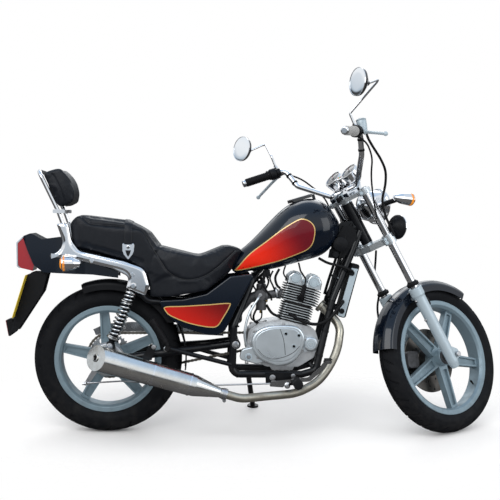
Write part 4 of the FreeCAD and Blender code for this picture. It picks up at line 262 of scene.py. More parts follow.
def make_finishes():
    """Every plain finish of the motorcycle."""
    paint = bpy.context.scene.motorcycle_paint
    body, red, dark_red, gold = (tuple(colour) for colour in (paint.body, paint.panel, paint.panel_dark,
                                                              paint.line))
    GROUPS.update(grime=grime_group(), grain=grain_group(), vinyl=vinyl_group())
    field = dict(smooth=0.2, rough=0.3, relief=0.00002, coat=0.3, dirt=0.02, specular=0.1)
    lens = dict(smooth=0.08, rough=0.16, relief=0.00002, coat=0.6, dirt=0.1)
    FINISHES.update({
        "body_paint": finish("blue-black paint", body, smooth=0.16, rough=0.26, relief=0.00002, coat=0.7,
                             dirt=0.03, specular=0.1),
        "panel_red": finish("red panel paint", red, **field),
        "side_red": finish("red side panel paint", red, **field),
        "panel_line": finish("gold line paint", gold, metallic=0.3, smooth=0.25, rough=0.35, relief=0.00002,
                             coat=1.0, dirt=0.05),
        "frame_paint": finish("black frame paint", (0.003, 0.0035, 0.005), smooth=0.25, rough=0.42,
                              relief=0.00005, coat=0.2, dirt=0.12, specular=0.2),
        "black_gloss": finish("gloss black", (0.008, 0.008, 0.009), smooth=0.12, rough=0.22, relief=0.00003,
                              coat=0.8, dirt=0.15),
        "black_plastic": finish("black moulded plastic", (0.004, 0.0045, 0.006), smooth=0.42, rough=0.6,
                                grain=900, relief=0.0003, dirt=0.08, specular=0.18),
        # Painted shade: near-black laid into seams, slots, holes and joints for the shade in them; at the
        # engine's joints it is partly the dark joint itself
        "joint_and_recess_shade": finish("shadowed groove", (0.006, 0.006, 0.006), smooth=0.7, rough=0.9, dirt=0.2),
        "soot": finish("exhaust soot", (0.006, 0.005, 0.005), smooth=0.8, rough=0.95, relief=0.0002,
                       dirt=0.2),
        "rubber": finish("black rubber", (0.005, 0.005, 0.006), smooth=0.5, rough=0.68, grain=800,
                         relief=0.0003, dirt=0.08, specular=0.18),
        "grip_grey": finish("grey grip rubber", (0.34, 0.34, 0.33), smooth=0.42, rough=0.6, grain=900,
                            relief=0.0002, dirt=0.5),
        "tyre": finish("tyre rubber", (0.004, 0.0045, 0.006), smooth=0.58, rough=0.8, grain=900,
                       relief=0.0003, dirt=0.35, dirt_colour=(0.030, 0.028, 0.026), reach=0.5, specular=0.15),
        "seat_vinyl": finish("seat vinyl", (0.004, 0.0055, 0.009), smooth=0.36, rough=0.5, grain=520,
                             relief=0.0004,
                             dirt=0.06, dirt_colour=(0.03, 0.03, 0.032), specular=0.25, vinyl=True),
        "seat_piping": finish("seat piping", (0.010, 0.010, 0.011), smooth=0.3, rough=0.45, dirt=0.1),
        "stitch": finish("seat thread", (0.05, 0.05, 0.052), smooth=0.5, rough=0.7, dirt=0.1),
        "chrome": finish("bright chrome", (0.80, 0.80, 0.81), metallic=1.0, smooth=0.05, rough=0.13,
                         relief=0.00002, dirt=0.25, dirt_colour=(0.35, 0.31, 0.27)),
        "spring_chrome": finish("spring chrome", (0.72, 0.72, 0.72), metallic=1.0, smooth=0.12, rough=0.25,
                                relief=0.00005, dirt=0.5, dirt_colour=(0.2, 0.16, 0.12)),
        "muffler": finish("muffler chrome", (0.74, 0.73, 0.70), metallic=1.0, smooth=0.10, rough=0.24,
                          relief=0.00004, dirt=0.5, dirt_colour=(0.32, 0.25, 0.18), dirt_scale=16),
        "exhaust": finish("warm header steel", (0.46, 0.43, 0.36), metallic=1.0, smooth=0.34, rough=0.55,
                          relief=0.00008, dirt=0.6, dirt_colour=(0.15, 0.12, 0.09), dirt_scale=22),
        "steel": finish("bright steel", (0.52, 0.52, 0.53), metallic=1.0, smooth=0.22, rough=0.38,
                        relief=0.00005, dirt=0.4, dirt_colour=(0.16, 0.10, 0.06)),
        "chain_steel": finish("oily chain steel", (0.20, 0.18, 0.15), metallic=1.0, smooth=0.3, rough=0.5,
                              relief=0.0002, dirt=0.8, dirt_colour=(0.03, 0.02, 0.015)),
        # Darker steel for the brake disc, darker still in noisy patches lower down
        "disc_steel": finish("dark disc steel", (0.12, 0.11, 0.10), metallic=1.0, smooth=0.24, rough=0.4,
                             grain=700, relief=0.00006, dirt=0.5, dirt_colour=(0.03, 0.022, 0.015)),
        "brass": finish("brass", (0.52, 0.36, 0.13), metallic=1.0, smooth=0.3, rough=0.45, dirt=0.4),
        "slider": finish("satin slider", (0.40, 0.48, 0.53), metallic=0.25, smooth=0.38, rough=0.5,
                         relief=0.00003, coat=0.3, dirt=0.12, dirt_colour=(0.2, 0.19, 0.17)),
        "wheel_paint": finish("silver wheel paint", (0.20, 0.275, 0.32), metallic=0.4, smooth=0.36, rough=0.5,
                              relief=0.00005, coat=0.2, dirt=0.35, dirt_colour=(0.07, 0.07, 0.07)),
        "cover_polish": finish("polished cover", (0.66, 0.71, 0.74), metallic=0.85, smooth=0.26, rough=0.38,
                               relief=0.00003, coat=0.2, dirt=0.15, dirt_colour=(0.25, 0.24, 0.22)),
        "cast_light": finish("light cast aluminium", (0.60, 0.61, 0.62), metallic=0.85, smooth=0.30,
                             rough=0.45,
                             grain=900, relief=0.00025, dirt=0.45, dirt_colour=(0.16, 0.13, 0.10)),
        "cast_dark": finish("dark cast aluminium", (0.10, 0.10, 0.105), metallic=0.7, smooth=0.42, rough=0.6,
                            grain=800, relief=0.0004, dirt=0.8, dirt_colour=(0.04, 0.032, 0.025),
                            dirt_scale=50),
        "cast_fins": finish("dark fin flats", (0.035, 0.035, 0.037), metallic=0.5, smooth=0.42, rough=0.6,
                            grain=700, relief=0.0004, dirt=0.7, dirt_colour=(0.06, 0.05, 0.04), dirt_scale=60,
                            reach=0.9),
        "fin_edge": finish("bright fin edges", (0.60, 0.64, 0.66), metallic=0.8, smooth=0.28, rough=0.42,
                           relief=0.00005, dirt=0.3, dirt_colour=(0.12, 0.10, 0.08)),
        "glass": finish("clear lens", (0.75, 0.78, 0.80), metallic=0.25, smooth=0.03, rough=0.08,
                        relief=0.00002, coat=1.0, dirt=0.08),
        "mirror_glass": finish("mirror glass", (0.86, 0.88, 0.90), metallic=1.0, smooth=0.02, rough=0.05,
                               relief=0.00001, dirt=0.06),
        "red_lens": finish("red lens", (0.28, 0.006, 0.010), **lens),
        "amber_lens": finish("amber lens", (0.90, 0.30, 0.015), **lens),
        "green_lens": finish("green lens", (0.02, 0.35, 0.06), smooth=0.1, rough=0.2, relief=0.00002,
                             coat=0.6, dirt=0.05),
        "dial": finish("dial face", (0.012, 0.012, 0.014), smooth=0.3, rough=0.4, relief=0.00002, coat=0.8,
                       dirt=0.02),
        "dial_mark": finish("dial marks", (0.75, 0.75, 0.72), smooth=0.3, rough=0.4, dirt=0.02),
        "plate_yellow": finish("yellow plate", (0.75, 0.55, 0.04), smooth=0.28, rough=0.4, relief=0.00003,
                               dirt=0.3),
    })
    fading(FINISHES["panel_red"], red, dark_red, (0.8, 0, 0.6), 0.40, 0.62)
    fading(FINISHES["side_red"], (0.50, 0.014, 0.008), (0.09, 0.005, 0.006), (0.5, 0, 0.87), 0.22, 0.42)


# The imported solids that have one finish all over
PLAIN_SOLIDS = {
    "frame_paint": ["frame", "rear_frame", "swingarm", "foot_controls_left", "side_stand"],
    "black_plastic": ["air_box", "rear_fender", "plate_bracket", "oil_cooler", "horn"],
    "black_gloss": ["fuel_cap"],
    "body_paint": ["front_fender", "fuel_tank", "tail", "side_panels"],
    "cover_polish": ["clutch_cover", "generator_cover", "cam_covers", "steering_yokes"],
    "cast_dark": ["carburettor", "brake_caliper"],
    "wheel_paint": ["rear_wheel", "front_wheel"],
    "chrome": ["handlebar", "instruments", "headlamp", "chain_guard", "side_struts", "backrest_frame"],
    "steel": ["front_axle", "rear_axle", "swing_pivot", "rear_sprocket"],
    "disc_steel": ["brake_disc"],
    "chain_steel": ["drive_chain"],
    "exhaust": ["exhaust_pipe"],
    "rubber": ["pillion_pegs", "spark_lead", "front_cables"],
    "tyre": ["rear_tyre", "front_tyre"],
    "seat_vinyl": ["seat", "seat_strap", "backrest_pad"],
    "red_lens": ["tail_lamp"],
    "plate_yellow": ["number_plate"],
}


# Drawing

def spline(points, steps=6, closed=False):
    """A smooth line through the points."""
    points = [Vector(point) for point in points]
    count = len(points)
    line = []
    for index in range(count if closed else count - 1):
        if closed:
            a, b, c, d = (points[(index + shift) % count] for shift in (-1, 0, 1, 2))
        else:
            b, c = points[index], points[index + 1]
            a = points[index - 1] if index else b
            d = points[index + 2] if index + 2 < count else c
        for step in range(steps):
            t = step / steps
            line.append(0.5 * (2 * b + (c - a) * t + (2 * a - 5 * b + 4 * c - d) * t ** 2
                               + (3 * b - a - 3 * c + d) * t ** 3))
    if not closed:
        line.append(points[-1])
    return line


def across(direction):
    """Two unit vectors square to a direction."""
    direction = Vector(direction).normalized()
    aside = direction.cross(Vector((0, 0, 1)) if abs(direction.z) < 0.9 else Vector((0, 1, 0))).normalized()
    return aside, direction.cross(aside).normalized()


def circle(middle, aside, other, radius, sides):
    """Points around a middle, in the plane of two unit vectors."""
    turns = (2 * math.pi * step / sides for step in range(sides))
    return [middle + (aside * math.cos(turn) + other * math.sin(turn)) * radius for turn in turns]


def ray(degrees):
    """A unit vector square to an axle, turned so far from the front toward the top."""
    angle = math.radians(degrees)
    return Vector((math.cos(angle), 0, math.sin(angle)))


def mirrored(point, side):
    """The point on one side of the middle plane."""
    return Vector((point[0], side * point[1], point[2]))


def side_of(point):
    """The side of the middle plane that a point lies on."""
    return LEFT if point.y > 0 else RIGHT


class Maker:
    """Gathers forms, drawn in the millimetres of one frame, into one named piece."""

    def __init__(self, name, place):
        self.name = name
        self.place = place
        self.mesh = bmesh.new()
        self.finishes = []

    def face(self, corners, finish_name):
        if finish_name not in self.finishes:
            self.finishes.append(finish_name)
        if len(set(corners)) < 3:
            return
        made = self.mesh.faces.new(corners)
        made.material_index = self.finishes.index(finish_name)
        made.smooth = True

    def surface(self, rows, finish_name, ring=False, loop=False, ends=False):
        """Faces between rows of points; each row may be a ring and the rows may form a loop."""
        rows = [[self.mesh.verts.new(point) for point in row] for row in rows]
        count = len(rows)
        width = len(rows[0])
        for index in range(count if loop else count - 1):
            low, high = rows[index], rows[(index + 1) % count]
            for column in range(width if ring else width - 1):
                following = (column + 1) % width
                self.face([low[column], low[following], high[following], high[column]], finish_name)
        if ends:
            self.face(list(reversed(rows[0])), finish_name)
            self.face(rows[-1], finish_name)
        return rows

    def lathe(self, profile, base, direction, finish_name, sides=32):
        """A profile of (along, radius) turned about a line; a zero radius closes it."""
        direction = Vector(direction).normalized()
        rings = []
        for along, radius in profile:
            middle = Vector(base) + direction * along
            places = circle(middle, *across(direction), radius, sides) if radius > 0 else [middle]
            rings.append([self.mesh.verts.new(place) for place in places])
        for low, high in zip(rings, rings[1:]):
            for k in range(sides):
                k2 = (k + 1) % sides
                corners = [low[k % len(low)], low[k2 % len(low)], high[k2 % len(high)], high[k % len(high)]]
                self.face(list(dict.fromkeys(corners)), finish_name)

    def tube(self, points, radius, finish_name, sides=10, steps=6):
        """A round tube along a smooth line through the points, closed at both ends."""
        line = spline(points, steps) if steps > 1 else [Vector(point) for point in points]
        aside = across(line[1] - line[0])[0]
        rows = []
        for index, point in enumerate(line):
            direction = (line[min(index + 1, len(line) - 1)] - line[max(index - 1, 0)]).normalized()
            aside = (aside - direction * aside.dot(direction)).normalized()
            rows.append(circle(point, aside, direction.cross(aside), radius, sides))
        self.surface(rows, finish_name, ring=True, ends=True)

    def slab(self, outline, low, high, finish_name, edge=1.0):
        """An (x, z) outline raised between two heights along Y, its outer rim cut back a little."""
        middle = Vector((sum(p[0] for p in outline), 0, sum(p[1] for p in outline))) / len(outline)
        outward = edge if high > low else -edge
        rows = [[Vector((x, low, z)) for x, z in outline],
                [Vector((x, high - outward, z)) for x, z in outline]]
        pulled = []
        for x, z in outline:
            inward = middle - Vector((x, 0, z))
            reach = inward.length
            pulled.append(Vector((x, high, z)) + inward * (edge / reach if reach else 0))
        rows.append(pulled)
        self.surface(rows, finish_name, ring=True, ends=True)

    def bolt(self, point, direction, radius=5.0, finish_name="steel", washer=True):
        """A hexagon head on a washer, with a chamfered crown."""
        if washer:
            self.lathe([(0, 0), (0, radius * 1.5), (radius * 0.25, radius * 1.5), (radius * 0.3, radius)],
                       point, direction, finish_name, 20)
        self.lathe([(radius * 0.25, radius * 1.12), (radius * 1.0, radius * 1.12),
                    (radius * 1.15, radius * 0.95), (radius * 1.15, 0)], point, direction, finish_name, 6)

    def screw(self, point, direction, radius=4.5, finish_name="steel"):
        """A round socket-head screw."""
        self.lathe([(0, radius), (radius * 0.8, radius), (radius, radius * 0.85), (radius, radius * 0.5),
                    (radius * 0.5, radius * 0.45), (radius * 0.5, 0)], point, direction, finish_name, 18)

    def done(self, body="chassis", replaces=(), sharp=35):
        """Turns the gathered forms into an object that rides on a body."""
        bmesh.ops.recalc_face_normals(self.mesh, faces=self.mesh.faces)
        bmesh.ops.transform(self.mesh, matrix=self.place, verts=self.mesh.verts)
        mesh = bpy.data.meshes.new(self.name)
        self.mesh.to_mesh(mesh)
        self.mesh.free()
        for finish_name in self.finishes:
            mesh.materials.append(FINISHES[finish_name])
        mesh.set_sharp_from_angle(angle=math.radians(sharp))
        item = bpy.data.objects.new(self.name, mesh)
        bpy.context.scene.collection.objects.link(item)
        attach(item, body)
        if replaces:
            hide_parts(*replaces)
        return item


# Profiles of (along, radius), to be turned

def stub(radius, length, chamfer, drop=None):
    """A round stub whose end has a chamfer, as deep as it is long unless a drop is given."""
    return [(0, radius), (length - chamfer, radius), (length, radius - (drop or chamfer)), (length, 0)]


def ribs(start, count, pitch, width, low, high):
    """Ribs in a row, with flanks 1 mm long."""
    profile = []
    for rib in range(count):
        first = start + rib * pitch
        profile += [(first, low), (first + 1, high), (first + width - 1, high), (first + width, low)]
    return profile


def lens_rib(radius):
    """A ring that stands out from a signal's lens."""
    return [(0, radius), (1.6, radius - 0.6), (1.6, radius - 2), (0, radius - 2.4)]


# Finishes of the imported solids

def dress(node, finish_names, rule=None, place=BIKE):
    """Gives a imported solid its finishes; a rule picks one by where a face lies, in a frame's millimetres."""
    mesh = node.data
    mesh.materials.clear()
    for finish_name in finish_names:
        mesh.materials.append(FINISHES[finish_name])
    if rule:
        back = place.inverted()
        for polygon in mesh.polygons:
            polygon.material_index = finish_names.index(rule(back @ polygon.center))


# The fins' rims lie beyond this half length or half width, and a fin is thinner than this
FIN_RIM_X = 52
FIN_RIM_Y = 56
FIN_THICKNESS = 3.5


def dress_fins(node):
    """Bright rims around dark fins and core walls."""
    dress(node, ["cast_fins", "fin_edge"])
    mesh = node.data
    back = CYLINDER.inverted()
    up = CYLINDER.to_3x3().normalized().col[2]
    for polygon in mesh.polygons:
        place = back @ polygon.center
        on_rim = abs(place.x) > FIN_RIM_X or abs(place.y) > FIN_RIM_Y
        heights = [(back @ mesh.vertices[index].co).z for index in polygon.vertices]
        thin = max(heights) - min(heights) < FIN_THICKNESS
        upright = abs(polygon.normal.dot(up)) < 0.6
        polygon.material_index = int(on_rim and thin and upright)


def from_line(point, start, end):
    """How far a point lies from a straight run."""
    start = Vector(start)
    run = Vector(end) - start
    share = max(0.0, min(1.0, (point - start).dot(run) / run.length_squared))
    return (point - start - run * share).length


def shock_rule(point):
    """Dark dampers inside chrome springs and end caps."""
    side = side_of(point)
    damper_radius = 18.5
    dark = from_line(point, mirrored(SHOCK_FOOT, side), mirrored(SHOCK_TOP, side)) < damper_radius
    return "black_plastic" if dark else "spring_chrome"


def fork_leg_rule(point):
    """Chrome stanchions above silver sliders."""
    slider_top = 326.5
    return "chrome" if point.z > slider_top else "slider"


def pedal_rule(point):
    """A chrome pedal arm beside a black hanger and peg."""
    arm_outer, arm_inner = -169, -157
    pad_inner, pad_rear = -138, 840
    on_arm = arm_outer < point.y < arm_inner
    on_pad = point.y < pad_inner and point.x > pad_rear
    return "chrome" if on_arm or on_pad else "frame_paint"


def lever_rule(point):
    """Bright levers and reservoir on black housings."""
    side = side_of(point)
    places = ((-10, 292, 972), (-27, 332, 962), (-56, 424, 933))
    pivot, middle, ball = (mirrored(place, side) for place in places)
    lever_reach = 10.5
    on_lever = min(from_line(point, pivot, middle), from_line(point, middle, ball)) < lever_reach
    reservoir_rear, reservoir_end, reservoir_foot = 4, -283, 968
    on_reservoir = (side == RIGHT and point.x > reservoir_rear and point.y > reservoir_end
                    and point.z > reservoir_foot)
    return "slider" if on_lever or on_reservoir else "black_plastic"


def front_signal_rule(point):
    """An amber lens before a chrome body on a dark stalk."""
    shell_radius, shell_start, lens_start = 27, 140, 22
    offset = point - mirrored(FRONT_SIGNAL, side_of(point))
    along = offset.dot(AHEAD)
    if (offset - AHEAD * along).length > shell_radius or abs(point.y) < shell_start:
        return "black_plastic"
    return "amber_lens" if along > lens_start else "chrome"


def rear_signal_rule(point):
    """An amber lens behind a chrome body."""
    lens_start = -158
    return "amber_lens" if point.x < lens_start else "chrome"


def mirror_rule(point):
    """Chrome stems behind black shells."""
    shell_radius = 62
    in_shell = (point - mirrored(MIRROR_HEAD, side_of(point))).length < shell_radius
    return "black_gloss" if in_shell else "chrome"


def muffler_rule(point):
    """Soot inside the outlet."""
    outlet_radius = 12.6
    return "soot" if from_line(point, MUFFLER_FRONT, MUFFLER_REAR) < outlet_radius else "muffler"


def brake_rule(point):
    """A steel rod and lever beside the cast plate."""
    plate_face = -72
    return "steel" if point.y < plate_face else "cast_light"


def crankcase_rule(point):
    """Cast aluminium with a steel drive sprocket."""
    sprocket_inner, sprocket_front = 60, 580
    on_sprocket = point.y > sprocket_inner and point.x < sprocket_front
    return "chain_steel" if on_sprocket else "cast_light"


def pipe_rule(point):
    """Black cooler hoses before a bright pipe at the rear of the engine."""
    hose_end = 690
    return "rubber" if point.x > hose_end else "cover_polish"


def grip_rule(point):
    """A grey grip on the right, a black one on the left."""
    return "grip_grey" if side_of(point) == RIGHT else "rubber"


RULES = {
    "engine_pipes": (["rubber", "cover_polish"], pipe_rule, BIKE),
    "grips": (["grip_grey", "rubber"], grip_rule, FORK),
    "shock_absorbers": (["black_plastic", "spring_chrome"], shock_rule, BIKE),
    "fork_legs": (["chrome", "slider"], fork_leg_rule, FORK),
    "foot_controls_right": (["chrome", "frame_paint"], pedal_rule, BIKE),
    "hand_controls": (["slider", "black_plastic"], lever_rule, FORK),
    "front_turn_signals": (["amber_lens", "chrome", "black_plastic"], front_signal_rule, FORK),
    "rear_turn_signals": (["amber_lens", "chrome"], rear_signal_rule, BIKE),
    "mirrors": (["black_gloss", "chrome"], mirror_rule, FORK),
    "muffler": (["soot", "muffler"], muffler_rule, BIKE),
    "rear_brake": (["steel", "cast_light"], brake_rule, BIKE),
    "crankcase": (["chain_steel", "cast_light"], crankcase_rule, BIKE),
}


class MOTORCYCLE_OT_solids(bpy.types.Operator):
    """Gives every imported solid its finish"""
    bl_idname = "motorcycle.solids"
    bl_label = "Packed solids"

    def execute(self, context):
        make_finishes()
        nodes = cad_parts
        for finish_name, names in PLAIN_SOLIDS.items():
            for name in names:
                dress(nodes[name], [finish_name])
        for name, (finish_names, rule, place) in RULES.items():
            dress(nodes[name], finish_names, rule, place)
        for name in ("cylinder", "cylinder_head"):
            dress_fins(nodes[name])
        return {"FINISHED"}


# Tyres

# The section across the tread, in degrees from the crown
TREAD_ANGLES = [0, 2.0, 3.4, 8, 10, 16, 22, 28, 33, 35, 40, 46, 52, 56, 58, 64, 70, 74, 76, 78, 84, 90]
# Where the columns of one tread block lie, as a share of its length, and whether they are cut
BLOCK_COLUMNS = [(0.0, True), (0.15, True), (0.20, False), (0.58, False), (0.95, False)]
# How far a groove runs, in degrees from the crown: every other one out to the shoulder
LONG_CUT = (9, 57)
SHORT_CUT = (9, 34)
# How many blocks a chevron leans over in 60 degrees
CHEVRON_LEAN = 0.85


def treaded_tyre(name, hub, outer, half, rim_radius, rim_half, blocks, depth, body, node):
    """A tyre whose chevron grooves run out to its shoulders."""
    middle = outer - half
    inner_half = rim_half - 4.3
    pitch = 2 * math.pi / blocks
    bead = [(half - 1, middle - 8), (rim_half - 2, rim_radius + 1.3), (inner_half, rim_radius + 1.3),
            (inner_half, rim_radius - 10)]
    angles = [-a for a in reversed(TREAD_ANGLES[1:])] + TREAD_ANGLES
    rows = []
    for block in range(blocks):
        cut_start, cut_end = LONG_CUT if block % 2 else SHORT_CUT
        for share, cut in BLOCK_COLUMNS:
            section = []
            for angle in angles:
                size = abs(angle)
                sunk = 0.0
                if size <= 2.0 or (cut and cut_start <= size <= cut_end):
                    sunk = depth * (1.0 if size < 50 else 0.6)
                if 73 < size < 77:
                    sunk = 0.5
                a = math.radians(angle)
                radius = half - sunk
                turn = pitch * (block + share + CHEVRON_LEAN * size / 60)
                section.append((radius * math.sin(a), middle + radius * math.cos(a), turn))
            turn = pitch * (block + share + CHEVRON_LEAN * 1.5)
            right = [(-y, radius, turn) for y, radius in reversed(bead)]
            left = [(y, radius, turn) for y, radius in bead]
            rows.append([Vector((r * math.cos(t), y, r * math.sin(t))) for y, r, t in right + section + left])
    maker = Maker(name, hub)
    maker.surface(rows, "tyre", ring=True, loop=True)
    maker.done(body, (node,), sharp=50)


class MOTORCYCLE_OT_tyres(bpy.types.Operator):
    """Builds both tyres with their tread"""
    bl_idname = "motorcycle.tyres"
    bl_label = "Tyres"

    def execute(self, context):
        sizes = context.scene.motorcycle_tyres
        depth = sizes.groove_depth / MM
        treaded_tyre("rear_tyre_tread", REAR_HUB, outer=299, half=60, rim_radius=215, rim_half=52,
                     blocks=sizes.blocks_rear, depth=depth, body="rear_wheel", node="rear_tyre")
        treaded_tyre("front_tyre_tread", FRONT_HUB, outer=309.5, half=45, rim_radius=240, rim_half=38,
                     blocks=sizes.blocks_front, depth=depth, body="front_wheel", node="front_tyre")
        return {"FINISHED"}


# Painted panels

TANK_PANEL = [(509, 660), (560, 667), (631, 686), (695, 705), (759, 731), (797, 750), (817, 776), (825, 821),
              (820, 846), (804, 864), (778, 874), (753, 869), (695, 833), (631, 782), (567, 731), (522, 679)]
SIDE_PANEL = [(228, 517), (300, 521), (400, 528), (480, 534), (488, 522), (462, 474), (438, 440), (406, 435),
              (350, 444), (304, 457), (252, 479), (232, 496)]


def skin_of(mesh):
    """A mesh's surface in the motorcycle's millimetres, for placing things on it."""
    back = BIKE.inverted()
    return BVHTree.FromPolygons([back @ vertex.co for vertex in mesh.vertices],
                                [list(polygon.vertices) for polygon in mesh.polygons])


def inset(line, width):
    """A closed (x, z) line moved inward."""
    area = sum(a.x * b.z - b.x * a.z for a, b in zip(line, line[1:] + line[:1]))
    sign = 1 if area > 0 else -1
    moved = []
    for index, point in enumerate(line):
        along = (line[(index + 1) % len(line)] - line[index - 1]).normalized()
        moved.append(point + Vector((-along.z, 0, along.x)) * width * sign)
    return moved


def inside(x, z, line):
    """Whether an (x, z) place lies within a closed line."""
    within = False
    for a, b in zip(line, line[1:] + line[:1]):
        if (a.z > z) != (b.z > z) and x < a.x + (z - a.z) * (b.x - a.x) / (b.z - a.z):
            within = not within
    return within


def fill_outline(maker, outline, inner, place, finish_name):
    """Fills a closed outline of (x, z) places with triangles, each corner put where a function says."""
    places, _, faces = delaunay_2d_cdt(outline + inner, [], [list(range(len(outline)))], 1, 1e-4)[:3]
    corners = [maker.mesh.verts.new(place(corner)) for corner in places]
    for face in faces:
        maker.face([corners[index] for index in face], finish_name)


def decal(maker, outline, skin, side, fill, border, width=4.0, lift=0.35, cell=7.0):
    """A painted field with a border line, laid on a surface from one side."""
    def laid(x, z):
        hit, normal = skin.ray_cast(Vector((x, side * 400, z)), Vector((0, -side, 0)))[:2]
        if hit is None:
            hit, normal = skin.find_nearest(Vector((x, side * 100, z)))[:2]
        if normal.y * side < 0:
            normal = -normal
        return hit + normal * lift

    line = spline([(x, 0, z) for x, z in outline], 5, closed=True)
    edge = inset(line, width)
    maker.surface([[laid(point.x, point.z) for point in row] for row in (line, edge)], border, ring=True)
    close = inset(edge, cell * 0.6)
    low_x, high_x = min(p.x for p in edge), max(p.x for p in edge)
    low_z, high_z = min(p.z for p in edge), max(p.z for p in edge)
    grid = []
    for column in range(1, int((high_x - low_x) / cell)):
        for row in range(1, int((high_z - low_z) / cell)):
            x, z = low_x + column * cell, low_z + row * cell
            if inside(x, z, close):
                grid.append(Vector((x, z)))
    fill_outline(maker, [Vector((p.x, p.z)) for p in edge], grid, lambda corner: laid(corner.x, corner.y),
                 fill)


class MOTORCYCLE_OT_panels(bpy.types.Operator):
    """Paints the bordered red fields on the tank and the side panels"""
    bl_idname = "motorcycle.panels"
    bl_label = "Painted panels"

    def execute(self, context):
        panels = (("tank_colours", TANK_PANEL, "fuel_tank", "panel_red"),
                  ("side_panel_colours", SIDE_PANEL, "side_panels", "side_red"))
        for name, outline, node, fill in panels:
            maker = Maker(name, BIKE)
            skin = skin_of(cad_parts[node].data)
            for side in SIDES:
                decal(maker, outline, skin, side, fill, "panel_line")
            maker.done()
        return {"FINISHED"}


# Seat and backrest

SEAT_SEAM = [(-103, 872), (-77, 846), (-51, 840), (64, 833), (103, 827), (128, 822), (147, 804), (180, 744),
             (218, 686), (237, 660), (269, 638), (301, 628), (346, 629), (397, 647), (449, 686), (509, 742)]
BACKREST_SEAM = [(-236, 1044), (-215, 1030), (-190, 985), (-172, 930), (-176, 914)]
# Below this height the seat, and behind and under these places the backrest, lie on hard pans
SEAT_PAN_TOP = 612
BACKREST_PAN_X = -235
BACKREST_PAN_TOP = 1030
PADDING_FRAMES = 20


def cushion(context, node, name, pinned):
    """A padded copy of a soft solid: remeshed, softened, filled by air pressure, and smoothed."""
    scene = context.scene
    settings = scene.motorcycle_seat
    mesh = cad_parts[node].data.copy()
    mesh.name = name
    item = bpy.data.objects.new(name, mesh)
    scene.collection.objects.link(item)
    cells = item.modifiers.new("cells", "REMESH")
    cells.mode = "VOXEL"
    cells.voxel_size = settings.voxel
    soft = item.modifiers.new("soft edges", "SMOOTH")
    soft.factor = 0.5
    soft.iterations = 9
    settle(item)
    back = BIKE.inverted()
    rest = [vertex.co.copy() for vertex in item.data.vertices]
    held = item.vertex_groups.new(name="held")
    held.add([v.index for v in item.data.vertices if pinned(back @ v.co)], 1.0, "REPLACE")
    cloth = item.modifiers.new("padding", "CLOTH")
    cloth.settings.quality = 2
    cloth.settings.mass = 0.3
    cloth.settings.tension_stiffness = 18
    cloth.settings.compression_stiffness = 18
    cloth.settings.bending_stiffness = 2
    cloth.settings.use_pressure = True
    cloth.settings.uniform_pressure_force = settings.pressure
    cloth.settings.vertex_group_mass = "held"
    cloth.settings.effector_weights.gravity = 0
    cloth.point_cache.frame_start = 1
    cloth.point_cache.frame_end = PADDING_FRAMES
    for number in range(1, PADDING_FRAMES + 1):
        scene.frame_set(number)
    settle(item)
    for vertex, start in zip(item.data.vertices, rest):
        moved = vertex.co - start
        if moved.length > settings.swell:
            vertex.co = start + moved * (settings.swell / moved.length)
    scene.frame_set(1)
    finer = item.modifiers.new("finer", "SUBSURF")
    finer.levels = finer.render_levels = 1
    settle(item)
    return item


def settle(item):
    """Writes an object's modifiers into its mesh."""
    graph = bpy.context.evaluated_depsgraph_get()
    solid = bpy.data.meshes.new_from_object(item.evaluated_get(graph), depsgraph=graph)
    item.modifiers.clear()
    old = item.data
    item.data = solid
    bpy.data.meshes.remove(old)


def press_seam(item, line, depth=2.6, reach=4.5):
    """Pulls a padded cover's flanks in along a seam."""
    back = BIKE.inverted()
    turn = back.to_3x3().normalized()
    for vertex in item.data.vertices:
        place = back @ vertex.co
        normal = turn @ vertex.normal
        if abs(normal.y) <= 0.35:
            continue
        near = min(from_line(place, (a.x, place.y, a.z), (b.x, place.y, b.z)) for a, b in zip(line, line[1:]))
        share = math.exp(-(near / reach) ** 2)
        if share > 0.02:
            vertex.co -= vertex.normal * depth * share * MM


def upholster(item, *nodes):
    """Gives a cushion its cover, riding on the chassis in place of its solids."""
    mesh = item.data
    mesh.materials.clear()
    mesh.materials.append(FINISHES["seat_vinyl"])
    mesh.shade_smooth()
    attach(item, "chassis")
    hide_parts(*nodes)


